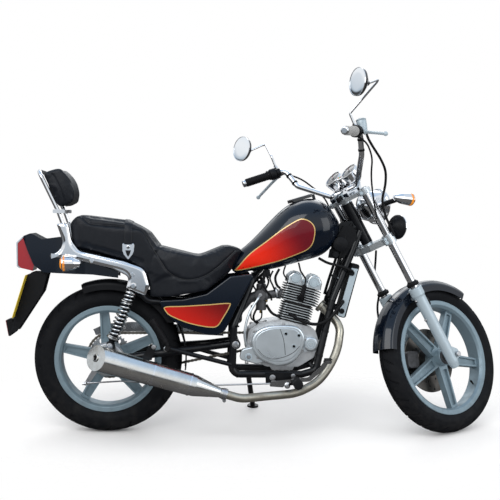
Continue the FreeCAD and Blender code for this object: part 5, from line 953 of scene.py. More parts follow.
class MOTORCYCLE_OT_seat(bpy.types.Operator):
    """Pads the seat and backrest, with their seams, and lays the strap over the seat"""
    bl_idname = "motorcycle.seat"
    bl_label = "Seat, backrest and strap"

    def execute(self, context):
        seat = cushion(context, "seat", "seat_cushion", lambda p: p.z < SEAT_PAN_TOP)
        line = spline([(x, 0, z) for x, z in SEAT_SEAM], 3)
        press_seam(seat, line)
        upholster(seat, "seat")
        pad = cushion(context, "backrest_pad", "backrest_cushion",
                      lambda p: p.x < BACKREST_PAN_X and p.z < BACKREST_PAN_TOP)
        press_seam(pad, spline([(x, 0, z) for x, z in BACKREST_SEAM], 3))
        upholster(pad, "backrest_pad")
        skin = skin_of(seat.data)
        self.pan()
        self.piping(skin, line)
        self.strap(skin)
        self.shields()
        return {"FINISHED"}

    def pan(self):
        """The dark base that the padded cover is folded round."""
        maker = Maker("seat_pan", BIKE)
        sections = ((178, 556, 100), (246, 560, 112), (320, 572, 122), (392, 586, 112), (438, 619, 84),
                    (470, 644, 62))
        height, flank = 18, 3
        rows = []
        for x, z, half in sections:
            rows.append([Vector((x, -half, z)), Vector((x, half, z)), Vector((x, half - flank, z + height)),
                         Vector((x, flank - half, z + height))])
        maker.surface(rows, "black_plastic", ring=True, ends=True)
        maker.done()

    def piping(self, skin, line):
        """A thin welt along the seam on both sides."""
        maker = Maker("seat_piping", BIKE)
        for side in SIDES:
            laid = []
            for point in line:
                hit = skin.ray_cast(Vector((point.x, side * 300, point.z)), Vector((0, -side, 0)))[0]
                if hit is not None and abs(hit.y) > 60:
                    laid.append(hit + Vector((0, side * 0.6, 0)))
            maker.tube(laid, 1.5, "seat_piping", 8, 1)
        maker.done()

    def strap(self, skin):
        """The strap that hugs the seat, with its stitched edges."""
        maker = Maker("strap", BIKE)
        section = [(64, 0.4), (64.5, 2.2), (67, 3.0), (72, 3.6), (80, 4.0), (88, 3.6), (93, 3.0), (95.5, 2.2),
                   (96, 0.4)]
        steps = 56
        rows = []
        for index in range(steps + 1):
            angle = math.radians(-18 + 216 * index / steps)
            outward = Vector((0, math.cos(angle), math.sin(angle)))
            row = []
            for x, lift in section:
                start = Vector((x, 0, 800)) + outward * 300
                hit = skin.ray_cast(start, -outward)[0]
                row.append(hit + outward * lift)
            rows.append(row)
        smooth = [rows[0]] + [[(a + 2 * b + c) / 4 for a, b, c in zip(*trio)]
                              for trio in zip(rows, rows[1:], rows[2:])] + [rows[-1]]
        maker.surface(smooth, "seat_vinyl", ring=True, ends=True)
        for row, following in zip(smooth[2:-2], smooth[3:-1]):
            for column in (2, 6):
                start = row[column].lerp(following[column], 0.15)
                end = row[column].lerp(following[column], 0.6)
                maker.tube([start, end], 0.6, "stitch", 5, 1)
        item = maker.done(replaces=("seat_strap",))

    def shields(self):
        """A bright shield at each end of the strap, with a sunk field and a screw."""
        maker = Maker("strap_shields", BIKE)
        outline = [(57, 764), (60, 767), (101, 767), (104, 764), (104, 737), (98, 722), (82, 705), (79, 705),
                   (63, 722), (57, 737)]
        hollow = [(69, 740), (92, 740), (86, 722), (80.5, 714), (75, 722)]
        rosette = [(0, 7), (1.6, 7), (2.4, 5.8), (2.4, 3.6), (0.8, 3.2), (0.8, 0)]
        for side in SIDES:
            maker.slab(outline, side * 104.4, side * 111.4, "chrome", 1.4)
            maker.slab(hollow, side * 111.4, side * 111.8, "black_plastic", 0.2)
            maker.lathe(rosette, (80.5, side * 111.2, 753), (0, side, 0), "chrome", 20)
            maker.lathe([(0, 3.0), (1.4, 3.0), (1.4, 0)], (80.5, side * 111.8, 753), (0, side, 0),
                        "black_plastic", 12)
        maker.done()


# Engine

# Where the side covers' screws stand, and the lines of painted shade along the clutch cover's seams
CLUTCH_EDGE = [(576, 368), (592, 416), (706, 446), (791, 388), (780, 346), (712, 284), (652, 288), (602, 314)]
CLUTCH_LINES = [[(688.6, 0, 432), (704.1, 0, 387), (711.6, 0, 327)],
                [(600, 0, 350), (622, 0, 326), (656.9, 0, 311), (703.7, 0, 318), (743.7, 0, 337),
                 (768, 0, 362)]]
GENERATOR_EDGE = [(645, 372), (658, 428), (720, 438), (794, 424), (812, 372), (774, 312), (708, 300),
                  (658, 314)]

# The hoses around the carburettor: where each runs, and its radius
HOSES = [
    ([(618, -24, 618), (616, -30, 636), (628, -34, 656), (640, -34, 676)], 5.0),
    ([(612, -52, 583), (622, -48, 606), (630, -44, 632), (634, -40, 664)], 3.4),
    ([(634, -40, 664), (622, -46, 620), (634, -50, 585), (654, -44, 560), (660, -40, 540)], 4.0),
    ([(690, -36, 668), (674, -40, 634), (680, -40, 604), (694, -36, 590)], 5.0),
    ([(664, -38, 660), (652, -42, 630), (664, -42, 600), (676, -36, 574)], 3.6),
    ([(716, -30, 682), (708, -34, 650), (724, -36, 622), (722, -40, 604)], 3.2),
    ([(578, -50, 520), (576, -52, 470), (598, -54, 456), (618, -50, 470), (620, -44, 500)], 3.0),
    ([(640, -20, 520), (662, -30, 488), (690, -52, 474), (712, -60, 462)], 5.5),
    ([(600, -10, 500), (588, -20, 470), (600, -36, 448), (640, -54, 456)], 4.5),
    ([(560, -40, 560), (576, -46, 600), (600, -40, 640), (622, -34, 664)], 4.5),
    ([(560, -10, 580), (590, 0, 610), (630, 6, 650), (650, 4, 672)], 6.0),
    ([(640, 24, 640), (652, 30, 612), (640, 34, 580), (622, 26, 560)], 4.0),
]


class MOTORCYCLE_OT_engine(bpy.types.Operator):
    """Adds the engine's screws, seams, nuts, plug cap, carburettor fittings and hoses"""
    bl_idname = "motorcycle.engine"
    bl_label = "Engine details"

    def execute(self, context):
        self.covers()
        self.top_end()
        self.plug()
        self.carburettor()
        self.cooler()
        return {"FINISHED"}

    def covers(self):
        """Screws with their bosses, dark lines of painted shade along the clutch cover's seams, and the case's
        nuts and lower ribs.
        """
        maker = Maker("cover_details", BIKE)
        boss = [(0, 8.5), (1.0, 8.5), (1.4, 7.2), (-0.2, 6.4), (-0.2, 5.2)]
        for x, z in ((713, 412.5), (765, 406), (745.4, 362)):
            maker.lathe(boss, (x, -117.3, z), AWAY, "slider", 20)
            maker.screw((x, -117.0, z), AWAY, 5.2, "black_plastic")
        middle = Vector((685, 0, 366))
        for x, z in CLUTCH_EDGE:
            inward = (middle - Vector((x, 0, z))).normalized() * 1.5
            place = Vector((x, -76, z)) + inward
            maker.lathe(stub(7.5, 27.5, 1.5, 1.0), place, AWAY, "cast_light", 18)
            maker.screw(place + AWAY * 27.4, AWAY, 4.6, "steel")
        for x, z in GENERATOR_EDGE:
            place = Vector((x, 76, z))
            maker.lathe(stub(7.5, 21.5, 1.5, 1.0), place, -AWAY, "cast_light", 18)
            maker.screw(place - AWAY * 21.4, -AWAY, 4.6, "steel")
        # Dark lines laid on the cover: painted shade along its seams
        skin = skin_of(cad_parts["clutch_cover"].data)
        for line in CLUTCH_LINES:
            laid = [skin.ray_cast(Vector((p.x, -300, p.z)), -AWAY)[0] for p in spline(line, 8)]
            maker.tube([p + AWAY * 0.4 for p in laid if p], 1.0, "joint_and_recess_shade", 6, 1)
        for radius in (17, 9):
            ring = [(0, radius), (1.2, radius), (1.6, radius - 1), (1.6, radius - 2.4), (0.2, radius - 3)]
            maker.lathe(ring, (816, -100.3, 368), AWAY, "slider", 28)
        maker.bolt((565, -102.3, 317), AWAY, 7.5, "steel")
        maker.lathe([(0, 14), (3, 14), (4, 13), (4, 9), (0, 8)], (565, -102.2, 317), AWAY, "slider", 24)
        maker.bolt((842, -74, 354), AWAY, 5.5, "steel")
        for x, z in ((655, 300), (752, 288), (842, 354), (585, 432), (610, 300)):
            maker.bolt((x, 74, z), -AWAY, 5.5, "steel")
        for side in SIDES:
            maker.bolt((512, side * 109.5, 366), (0, side, 0), 10, "steel")
            maker.bolt((862, side * 69, 352), (0, side, 0), 7, "steel")
        for x in (676, 706, 736):
            maker.tube([(x, -50, 254), (x, 50, 254)], 2.4, "cast_light", 8, 1)
        maker.bolt((706, 0, 256), (0, 0, -1), 10, "steel")
        maker.done()

    def top_end(self):
        """Nuts and bolts of the cylinder head, and the cam cover's caps."""
        maker = Maker("top_end_details", CYLINDER)
        side_cap = [(0, 19), (3, 19), (5, 17), (5, 12), (6.5, 11), (6.5, 0)]
        valve_cap = [(0, 13), (2.4, 13), (4, 11.5), (4, 8), (3, 7.4), (3, 0)]
        for side in SIDES:
            for x in (-52, -2, 54):
                maker.bolt((x, side * 60.2, HEAD_TOP + 22), (0, side, 0), 5.2, "slider")
            for x in (-40, 36):
                maker.lathe(side_cap, (x, side * 60, HEAD_TOP + 24), (0, side, 0), "slider", 28)
        for x, rise in ((-58, 30), (60, 34)):
            for y in (-40, 40):
                maker.bolt((x, y, HEAD_TOP + rise), (0, 0, 1), 5, "steel")
        for x, rise in ((-36, 45.8), (35, 51.8)):
            for y in (-34, 34):
                maker.lathe(valve_cap, (x, y, HEAD_TOP + rise), (0, 0, 1), "slider", 24)
        for y in (-46, 46):
            for x in (-40, 40):
                maker.bolt((x, y, 3), (0, 0, 1), 6, "steel", washer=False)
        # Dark bands at the joints: the dark joints themselves, with painted shade in their gaps
        joints = ((HEAD_TOP - 1.2, HEAD_TOP + 0.8, -63, 64, 58), (74.6, 77.4, -58, 58, 60))
        for low, high, rear, front, half in joints:
            gasket = [(rear, low), (rear, high), (front, high), (front, low)]
            maker.slab(gasket, -half, half, "joint_and_recess_shade", 0.3)
        maker.done()

    def plug(self):
        """Rings around the spark plug's cap, and the plug's hexagon."""
        maker = Maker("plug_details", CYLINDER)
        ring = [(0, 13.0), (0.6, 14.6), (1.8, 14.6), (2.4, 13.0)]
        for y in (-59, -63, -67):
            maker.lathe(ring, (0, y, 102), AWAY, "rubber", 24)
        maker.lathe([(0, 10.5), (0, 12.4), (6, 12.4), (6, 10.5)], (0, -55, 102), AWAY, "steel", 6)
        maker.done()

    def carburettor(self):
        """Clamps, float bowl screws, the throttle drum and the hoses around the carburettor."""
        maker = Maker("carburettor_details", BIKE)
        port = Vector((652, -24, 566))
        for along, radius in ((-28, 18.4), (28, 24.0)):
            ring = [(-3.5, radius - 1), (-3.5, radius + 1.2), (3.5, radius + 1.2), (3.5, radius - 1)]
            maker.lathe(ring, port + Vector((along, 0, along * 0.16)), (1, 0, 0.2), "steel", 28)
            maker.screw(port + Vector((along, -radius - 1, 0)), AWAY, 3.5, "steel")
        for x in (598, 638):
            for y in (-46, -4):
                maker.screw((x, y, 540), (0, 0, -1), 3.6, "brass")
        bowl = [(0, 22.4), (3, 22.4), (3, 21), (8, 21), (9, 20), (9, 0)]
        drum = [(0, 21), (4, 21), (5, 18), (8, 18), (9, 21), (12, 21), (12, 8), (12, 0)]
        connector = [(0, 12), (26, 12), (28, 10), (28, 6), (34, 6), (34, 0)]
        maker.lathe(bowl, (618, -24, 508), (0, 0, -1), "cast_dark", 28)
        maker.lathe(stub(6, 13, 1), (618, -24, 499), (0, 0, -1), "brass", 6)
        maker.lathe(drum, (612, -50, 562), AWAY, "cast_dark", 28)
        maker.bolt((612, -62, 562), AWAY, 5, "steel")
        maker.lathe(stub(17, 10, 2), (618, -24, 610), (0, 0, 1), "black_plastic", 24)
        for points, radius in HOSES:
            maker.tube(points, radius, "rubber", 10, 6)
        maker.lathe(connector, (640, -36, 664), (0.1, 0, -1), "black_plastic", 20)
        maker.done()

    def cooler(self):
        """The cooler's bright plates with their round bolts, thin dark sheets of painted shade in its slots,
        and the coil behind it.
        """
        maker = Maker("cooler_details", BIKE)
        plate = [(984, 676), (1010, 672), (956, 474), (930, 481)]
        slot = [(993, 676), (1012, 671), (960, 480), (942, 484)]
        bolt_head = [(0, 11), (4, 11), (5.5, 9.5), (5.5, 5), (4.5, 4.4), (4.5, 0)]
        for side in SIDES:
            maker.slab(plate, side * 59.2, side * 61.6, "slider", 2.5)
            for x, z in ((984, 655), (945, 500)):
                maker.lathe(bolt_head, (x, side * 61.4, z), (0, side, 0), "black_plastic", 24)
        # Thin dark sheets across the cooler: painted shade in its slots
        for y in range(-54, 55, 6):
            maker.slab(slot, y - 0.9, y + 0.9, "joint_and_recess_shade", 0.2)
        for x, z, radius in ((913.7, 641.4, 10), (932.7, 632.6, 6)):
            coil = [(0, radius * 0.7), (22, radius * 0.7), (24, radius), (33, radius), (36, radius * 0.8),
                    (36, 0)]
            maker.lathe(coil, (x, -18, z), AWAY, "black_plastic", 22)
        maker.bolt((932.7, -54, 632.6), AWAY, 4, "slider")
        maker.done()


# Frame and running gear

STRUT_LINE = [(-226, 714), (-200, 726), (-184, 742), (-177, 760), (-178, 785), (-198, 840), (-155, 840),
              (-141, 776), (-128, 752), (-106, 737), (-40, 720), (20, 706), (64, 696), (118, 680), (145, 664),
              (158, 632), (164, 600), (152, 563), (112, 575), (77, 590), (82, 620), (80, 640), (62, 656),
              (20, 668), (-45, 683), (-112, 699), (-170, 707)]


class MOTORCYCLE_OT_chassis(bpy.types.Operator):
    """Adds welds, bolts, pegs, pedals, brackets, the fuel tap and the rear end's fittings"""
    bl_idname = "motorcycle.chassis"
    bl_label = "Frame details"

    def execute(self, context):
        self.frame_parts()
        self.pegs()
        self.strut_crowns()
        self.rear_end()
        self.exhaust()
        self.rear_lamps()
        return {"FINISHED"}

    def frame_parts(self):
        """Weld beads, lower engine brackets, wiring, the dark parts under the tank and the fuel tap."""
        maker = Maker("frame_fittings", BIKE)
        beads = (((905, 66, 545), (0.23, 0.1, 1)), ((512, 95, 440), (0.1, 0, 1)), ((780, 95, 246), (1, 0, 0)),
                 ((520, 95, 246), (1, 0, 0)))
        bead = []
        for step in range(5):
            bead += [(step * 1.2 - 3, 14.0), (step * 1.2 - 2.4, 15.1)]
        lower_bracket = [(632, 256), (750, 256), (752, 214), (700, 204), (634, 212)]
        front_bracket = [(834, 374), (880, 362), (868, 330), (832, 342)]
        thick_cable = [(988, 18, 856), (960, 30, 800), (930, 44, 700), (905, 48, 620), (890, 60, 560)]
        thin_cable = [(1006, 14, 842), (975, 24, 770), (950, 34, 700), (936, 36, 640)]
        clip = [(-4, 14.3), (-4, 15.6), (4, 15.6), (4, 14.3)]
        for side in SIDES:
            for place, axis in beads:
                maker.lathe(bead, mirrored(place, side), mirrored(axis, side), "frame_paint", 24)
            maker.slab(lower_bracket, side * 116.8, side * 119.5, "frame_paint", 1.5)
            maker.bolt((661, side * 119, 236), (0, side, 0), 8, "steel")
            maker.bolt((744, side * 119, 243), (0, side, 0), 6, "steel")
            maker.slab(front_bracket, side * 69.5, side * 73.5, "frame_paint", 1.0)
            maker.tube([mirrored(place, side) for place in thick_cable], 6, "rubber", 10, 6)
            maker.tube([mirrored(place, side) for place in thin_cable], 4, "rubber", 8, 6)
            for place in ((895, 70, 505), (876, 79, 420), (852, 89, 322)):
                maker.lathe(clip, mirrored(place, side), (0.23, side * -0.1, 1), "black_plastic", 24)
        loom = [(952, 848), (992, 846), (1012, 796), (990, 742), (948, 716), (924, 730), (924, 800)]
        coil = [(0, 16), (0, 22), (8, 22), (8, 30), (28, 30), (30, 27), (30, 0)]
        plug = [(0, 9), (18, 9), (18, 13), (30, 13), (32, 11), (32, 0)]
        tap = [(0, 8), (14, 8), (14, 15), (24, 15), (24, 7), (34, 7), (34, 0)]
        tap_lever = [(0, 5), (14, 5), (16, 8), (22, 8), (22, 0)]
        maker.slab(loom, -34, 34, "black_plastic", 4)
        maker.lathe(coil, (936, -34, 772), AWAY, "black_plastic", 26)
        maker.slab([(896, 752), (936, 748), (930, 712), (890, 716)], -40, -28, "black_plastic", 2)
        maker.lathe(plug, (916, -40, 730), AWAY, "black_plastic", 18)
        maker.lathe(tap, (590, 66, 648), (0, 0, -1), "cast_light", 20)
        maker.lathe(tap_lever, (590, 66, 622), (0, 1, 0), "black_plastic", 16)
        maker.tube([(590, 66, 614), (592, 58, 590), (606, 40, 572), (616, 6, 566)], 4, "rubber", 10, 6)
        maker.done()

    def strut_crowns(self):
        """A rounded crown on each strut's outer face."""
        maker = Maker("strut_crowns", BIKE)
        outline = spline([(x, 0, z) for x, z in STRUT_LINE], 4, closed=True)
        rims = [(inset(outline, width), 133.9 + lift) for width,
                lift in ((4.4, 0), (7, 1.9), (10, 3.2), (13.5, 4.0))]
        for side in SIDES:
            maker.surface([[Vector((p.x, side * y, p.z)) for p in rim] for rim, y in rims], "chrome",
                          ring=True)
            top, y = rims[-1]
            fill_outline(maker, [Vector((p.x, p.z)) for p in top], [],
                         lambda corner: Vector((corner.x, side * y, corner.y)), "chrome")
        maker.done()

    def pegs(self):
        """Ribbed rubbers on the rider's and the folded pegs, and the pedals' rubbers and bolts."""
        maker = Maker("peg_rubbers", BIKE)
        rider_peg = [(0, 0), (0, 17)] + ribs(4, 10, 8, 6, 17, 19)
        rider_peg += [(88, 17), (88, 19.5), (93, 19.5), (94, 17), (94, 0)]
        folded_peg = [(0, 13)] + ribs(2, 9, 8.5, 6, 13.2, 15)
        folded_peg += [(84, 13), (84, 15.5), (90, 15.5), (92, 12), (92, 0)]
        for side in SIDES:
            maker.lathe(rider_peg, (754, side * 132, 224), (0, side, 0), "rubber", 26)
            low, high = Vector((232, side * 142, 376)), Vector((173, side * 142, 471))
            along = (high - low).normalized()
            maker.lathe(folded_peg, low + along * 18, along, "rubber", 24)
            maker.bolt((235, side * 141, 352), (0, side, 0), 7, "chrome")
        maker.tube([(852, 110, 293), (852, 162, 293)], 12.5, "rubber", 16, 1)
        for y in range(-204, -158, 7):
            maker.slab([(862, 318.5), (889, 318.5), (890, 321), (863, 321)], y - 2.2, y + 2.2, "rubber", 0.5)
        maker.lathe(stub(12, 8, 1, 2), (716, -167, 212), AWAY, "chrome", 24)
        maker.bolt((716, -174, 212), AWAY, 6, "steel", washer=False)
        maker.lathe(stub(11, 6, 1, 2), (700, 122, 318), (0, 1, 0), "steel", 20)
        maker.done()

    def rear_end(self):
        """Chain adjusters, shock nuts, strut bolts, the brake's arm and the stand's spring."""
        maker = Maker("rear_fittings", BIKE)
        adjuster = [(0, 4), (26, 4), (26, 7.5), (32, 7.5), (32, 0)]
        for side in SIDES:
            maker.bolt((103, side * 137, 600), (0, side, 0), 9, "chrome")
            maker.lathe(stub(14, 5, 2), (103, side * 134.3, 600), (0, side, 0), "chrome", 26)
            maker.bolt((12, side * 135, 362), (0, side, 0), 7.5, "steel")
            for x, z in ((100, 645), (-60, 698)):
                maker.bolt((x, side * 134.2, z), (0, side, 0), 8, "chrome")
            maker.lathe(adjuster, (-34, side * 92, 299), (-1, 0, 0), "steel", 6)
            foot = mirrored(SHOCK_FOOT, side)
            axis = (mirrored(SHOCK_TOP, side) - foot).normalized()
            for along, radius in ((33, 27.5), (38, 26.0), (186, 26.5)):
                ring = [(0, radius - 5), (0, radius), (3.5, radius), (3.5, radius - 5)]
                maker.lathe(ring, foot + axis * along, axis, "spring_chrome", 32)
        for rib in range(6):
            outward = ray(60 * rib + 12)
            start = Vector((0, -70.5, 299)) + outward * 26
            maker.tube([start, start + outward * 34 + Vector((0, 3, 0))], 2.6, "cast_light", 8, 1)
        maker.bolt((-42, -85, 266), AWAY, 5, "steel")
        maker.lathe([(0, 9), (4, 9), (6, 6), (14, 6), (14, 0)], (-84, -86, 205), (-1, 0, -0.1), "steel", 6)
        maker.tube([(-84, -74, 205), (-70, -70, 240), (-44, -70, 262)], 1.6, "steel", 6, 4)
        self.stand_spring(maker)
        maker.done()

    def stand_spring(self, maker):
        """The coil that runs down to the eye on the side stand."""
        hook = Vector((572, 149, 262))
        eye = Vector((588, 177, 190))
        points = 170
        radius, turn_step = 6.5, 0.55
        coil = []
        for index in range(points):
            turn = index * turn_step
            middle = hook.lerp(eye, 0.9 * index / (points - 1))
            coil.append(middle + Vector((math.cos(turn), 0, math.sin(turn))) * radius)
        maker.tube(coil, 1.3, "steel", 6, 1)

    def exhaust(self):
        """The header's nuts, the muffler's clamp, bands and bracket, and the lip of its outlet."""
        maker = Maker("exhaust_fittings", BIKE)
        port = BIKE.inverted() @ (CYLINDER @ Vector((84.5, -30, 94)))
        along = (Vector((900, -34, 486)) - port).normalized()
        upright = across(along)[1]
        for sign in SIDES:
            maker.bolt(port + along * 10 + upright * sign * 20, along, 4.5, "steel")
        front, rear = MUFFLER_FRONT, MUFFLER_REAR
        axis = (rear - front).normalized()
        maker.lathe([(0, 21), (0, 23), (14, 23), (14, 21)], front + axis * 4, axis, "steel", 32)
        maker.bolt(front + axis * 11 + Vector((0, 0, -26)), AWAY, 5, "steel")
        for place, radius in ((152, 45.0), (300, 47.8)):
            band = [(-3, radius - 1), (-3, radius + 0.5), (3, radius + 0.6), (3, radius - 1)]
            maker.lathe(band, front + axis * place, axis, "chrome", 48)
        end = front + axis * 330
        bracket = [(end.x + x, end.z + z) for x, z in ((-26, 40), (20, 40), (40, 96), (16, 104))]
        maker.slab(bracket, -150, -144, "frame_paint", 2)
        maker.bolt((end.x + 28, -150, end.z + 92), AWAY, 6, "steel")
        normal = Matrix.Rotation(math.radians(37), 3, "Z") @ axis
        lip = [(-1.0, 12), (-1.0, 15.5), (1.8, 15.5), (2.4, 14), (2.4, 12)]
        maker.lathe(lip, rear + axis * 2, normal, "muffler", 32)
        maker.done()

    def rear_lamps(self):
        """Ribs and rims on the tail lamp, the reflector, plate screws and rear signal rims."""
        maker = Maker("rear_lamp_details", BIKE)
        rim = [(-342, 788), (-366, 765), (-363.5, 671), (-353, 662), (-349, 664), (-359, 673), (-361, 763),
               (-340, 784)]
        for side in SIDES:
            maker.slab(rim, side * 56.4, side * 60.4, "chrome", 1)
        for z in range(684, 760, 12):
            maker.slab([(-364.6, z), (-363.6, z + 3), (-361, z + 3), (-361, z)], -54, 54, "red_lens", 0.3)
        maker.slab([(-411, 450), (-398, 454), (-388, 404), (-399, 388)], -34, 34, "red_lens", 2)
        plate_slope = 54 / 180
        for y in (-60, 60):
            for z in (482, 620):
                maker.screw((-380 + (z - 452) * plate_slope, y, z), (-0.96, 0, 0.29), 5, "steel")
        signal_rim = [(0, 31.6), (4, 31.6), (5, 30), (5, 28)]
        for side in SIDES:
            maker.lathe(signal_rim, (-165.0, side * 190, 689), (-1, 0, 0), "chrome", 36)
            for radius in (21, 14, 7):
                maker.lathe(lens_rib(radius), (-167 - (25 - radius) * 0.42, side * 190, 689), (-1, 0, 0),
                            "amber_lens", 30)
        maker.done()


# Fork

class MOTORCYCLE_OT_fork(bpy.types.Operator):
    """Adds the fork's seals, clamp bolts, lamp glass, dials, switches, cable ties and wheel fittings"""
    bl_idname = "motorcycle.fork"
    bl_label = "Fork details"

    def execute(self, context):
        self.legs()
        self.bars()
        self.lamps()
        self.front_brake()
        self.hubs()
        return {"FINISHED"}

    def legs(self):
        """Dust seals, clamp bolts on the yokes, axle nuts and the reflector lugs on the sliders."""
        maker = Maker("fork_fittings", FORK)
        dust_seal = [(0, 16.6), (0, 24), (3, 25.6), (12, 25.6), (15, 21), (20, 18), (20, 16.6)]
        collar = [(0, 24.4), (2, 26.4), (10, 26.4), (14, 24.4)]
        top_cap = [(0, 15), (2, 15), (3, 13.5), (3, 9), (1.5, 8.5), (1.5, 0)]
        lug = [(0, 9), (8, 9), (8, 16), (12, 16), (13, 14.5), (13, 0)]
        upward = (0, 0, 1)
        for side in SIDES:
            y = side * 92
            maker.lathe(dust_seal, (FORK_REACH, y, 324), upward, "rubber", 36)
            maker.lathe(collar, (FORK_REACH, y, 296), upward, "slider", 36)
            for z in (532, 548):
                maker.bolt((FORK_REACH - 31, side * 101, z), (0, side, 0), 5, "slider")
            maker.bolt((FORK_REACH - 30, side * 101, 759), (0, side, 0), 5.5, "slider")
            maker.lathe(top_cap, (FORK_REACH, y, 774), upward, "slider", 6)
            maker.lathe(lug, (FORK_REACH + 22, y, 236), (0.6, side * 0.8, 0), "black_plastic", 26)
            for z in (262, 176):
                maker.bolt((FORK_REACH - 24, side * 88, z), (-1, 0, 0), 4.5, "steel")
            maker.bolt((FORK_REACH + 22, side * 88, 40), (1, 0, 0), 4.5, "steel")
        maker.lathe(stub(17, 12, 2), (0, 0, 779), upward, "slider", 6)
        maker.lathe(stub(14, 18, 2), (-24, 0, 768), (-0.2, 0, 1), "black_plastic", 24)
        maker.lathe([(0, 9), (1, 9), (1, 0)], (-27.6, 0, 786), (-0.2, 0, 1), "chrome", 20)
        for y in (-46, 46):
            maker.screw((-12, y, 798), (-0.2, 0, 1), 5, "chrome")
            maker.screw((22, y, 808.5), upward, 5, "chrome")
        maker.done("fork")

    def bars(self):
        """Grip ribs, switches, mirror glass, lever pivots and the ties around the bar."""
        grips = Maker("grip_ribs", FORK)
        controls = Maker("switches", FORK)
        glass = Maker("mirror_glass", FORK)
        for side in SIDES:
            end = mirrored(GRIP_END, side)
            top = mirrored(GRIP_TOP, side)
            along = (top - end).normalized()
            self.grip(grips, side, end, along)
            self.switches(controls, side, end, along)
            self.lever_and_mirror_mounts(controls, side, end + along * 149)
            self.mirror(glass, side)
            for share in (0.35, 0.8):
                place = top.lerp(mirrored((-8, 214, 900), side), share)
                tie = [(-4, 11.2), (-4, 13), (4, 13), (4, 11.2)]
                controls.lathe(tie, place, (0.13, side * 0.41, 0.9), "rubber", 24)
        self.reservoir_cap(controls)
        controls.done("fork")
        grips.done("fork")
        glass.done("fork")

    def grip(self, maker, side, end, along):
        """A ribbed sleeve with a collar at its inner end."""
        profile = [(1, 16.5)] + ribs(6, 14, 7, 5, 16.6, 17.8) + [(105, 16.6), (105, 20.5), (109, 20.5),
                                                                 (109, 16.5)]
        maker.lathe(profile, end, along, "grip_grey" if side == RIGHT else "rubber", 32)

    def switches(self, maker, side, end, along):
        """The switch housing beside the grip, with three knobs; the right middle one is red."""
        housing = [(0, 17), (0, 23), (4, 24.5), (22, 24.5), (26, 23), (26, 17)]
        knob = [(0, 4.6), (5, 4.4), (6, 3.6), (6, 0)]
        maker.lathe(housing, end + along * 111.5, along, "black_plastic", 32)
        middle_colour = "red_lens" if side == RIGHT else "black_gloss"
        for place, facing, colour in ((116, (-0.6, 0, 0.8), "black_gloss"),
                                      (124, (-0.95, 0, 0.3), middle_colour),
                                      (132, (-0.6, 0, 0.8), "black_gloss")):
            outward = Vector(facing).normalized()
            maker.lathe(knob, end + along * place + outward * 22, outward, colour, 16)

    def lever_and_mirror_mounts(self, maker, side, perch):
        """The perch's clamp bolt, the lever's pivot screw and the nut under the mirror's stem."""
        maker.bolt(perch + Vector((-8, side * 6, 15)), (-0.2, 0, 1), 4, "steel", washer=False)
        pivot = perch + Vector((0.34, side * 0.79, -0.51)) * 32
        maker.screw(pivot + Vector((0, 0, 8)), (0, 0, 1), 6, "slider")
        adjuster = [(0, 9), (8, 9), (10, 7), (16, 7), (16, 5)]
        maker.lathe(adjuster, perch + Vector((0, 0, 18)), (0.06, 0, 1), "chrome", 6)

    def mirror(self, maker, side):
        """The mirror's glass in its chrome rim."""
        facing = Vector((-0.86, -side * 0.12, 0.50)).normalized()
        head = mirrored(MIRROR_HEAD, side)
        pane = [(4.0, 54.6), (5.2, 54.6), (5.8, 53.6), (5.0, 51.8), (5.4, 50), (5.8, 30), (6, 0)]
        rim = [(2.5, 54.4), (6.2, 54.8), (6.4, 52.6), (5.0, 52.0)]
        maker.lathe(pane, head, facing, "mirror_glass", 56)
        maker.lathe(rim, head, facing, "chrome", 56)

    def reservoir_cap(self, maker):
        """The brake reservoir's cap with its two screws."""
        upward = Vector((0.34, 0, 0.94))
        cap = Vector((14.2, -260.4, 981)) + upward * 42
        maker.lathe(stub(20.5, 4.5, 1.5), cap, upward, "slider", 30)
        for angle in (0.6, 3.7):
            place = Vector((math.cos(angle) * 13, math.sin(angle) * 13, 4.6 - math.cos(angle) * 4.7))
            maker.screw(cap + place, upward, 2.6, "steel")

    def lamps(self):
        """The headlamp's glass and rim, the signals' lens ribs, the gauges and the horn's face."""
        maker = Maker("lamp_details", FORK)
        self.headlamp(maker)
        for side in SIDES:
            maker.bolt((112, side * 78.2, 684), (0, side, 0), 7, "slider")
            signal = mirrored(FRONT_SIGNAL, side)
            maker.lathe([(30, 26.4), (33, 26.6), (34, 25), (34, 22)], signal, AHEAD, "chrome", 36)
            for radius in (20, 14, 8):
                maker.lathe(lens_rib(radius), signal + AHEAD * (37 + (24 - radius) * 0.4), AHEAD,
                            "amber_lens", 30)
        self.gauges(maker)
        self.horn(maker)
        maker.done("fork")

    def headlamp(self, maker):
        """The domed glass with its upright flutes, in a chrome rim."""
        lamp = Vector((118, 0, 684))
        glass = [(40.2, 70), (44, 68), (49, 58), (52.5, 40), (54.5, 20), (55, 0)]
        rim = [(24, 72.3), (26, 75), (38, 75), (42, 72), (43, 68), (40, 67)]
        flute_reach, dome = 64, 330
        maker.lathe(glass, lamp, AHEAD, "glass", 56)
        for index in range(-8, 9):
            y = index * 7.0
            reach = math.sqrt(flute_reach ** 2 - y * y)
            arc = []
            for share in (-1, -0.5, 0, 0.5, 1):
                rise = reach * share
                arc.append(lamp + AHEAD * (55.3 - (y * y + rise * rise) / dome) + Vector((0, y,
                                                                                          0)) + UPWARD * rise)
            maker.tube(arc, 0.8, "glass", 6, 4)
        maker.lathe(rim, lamp, AHEAD, "chrome", 64)

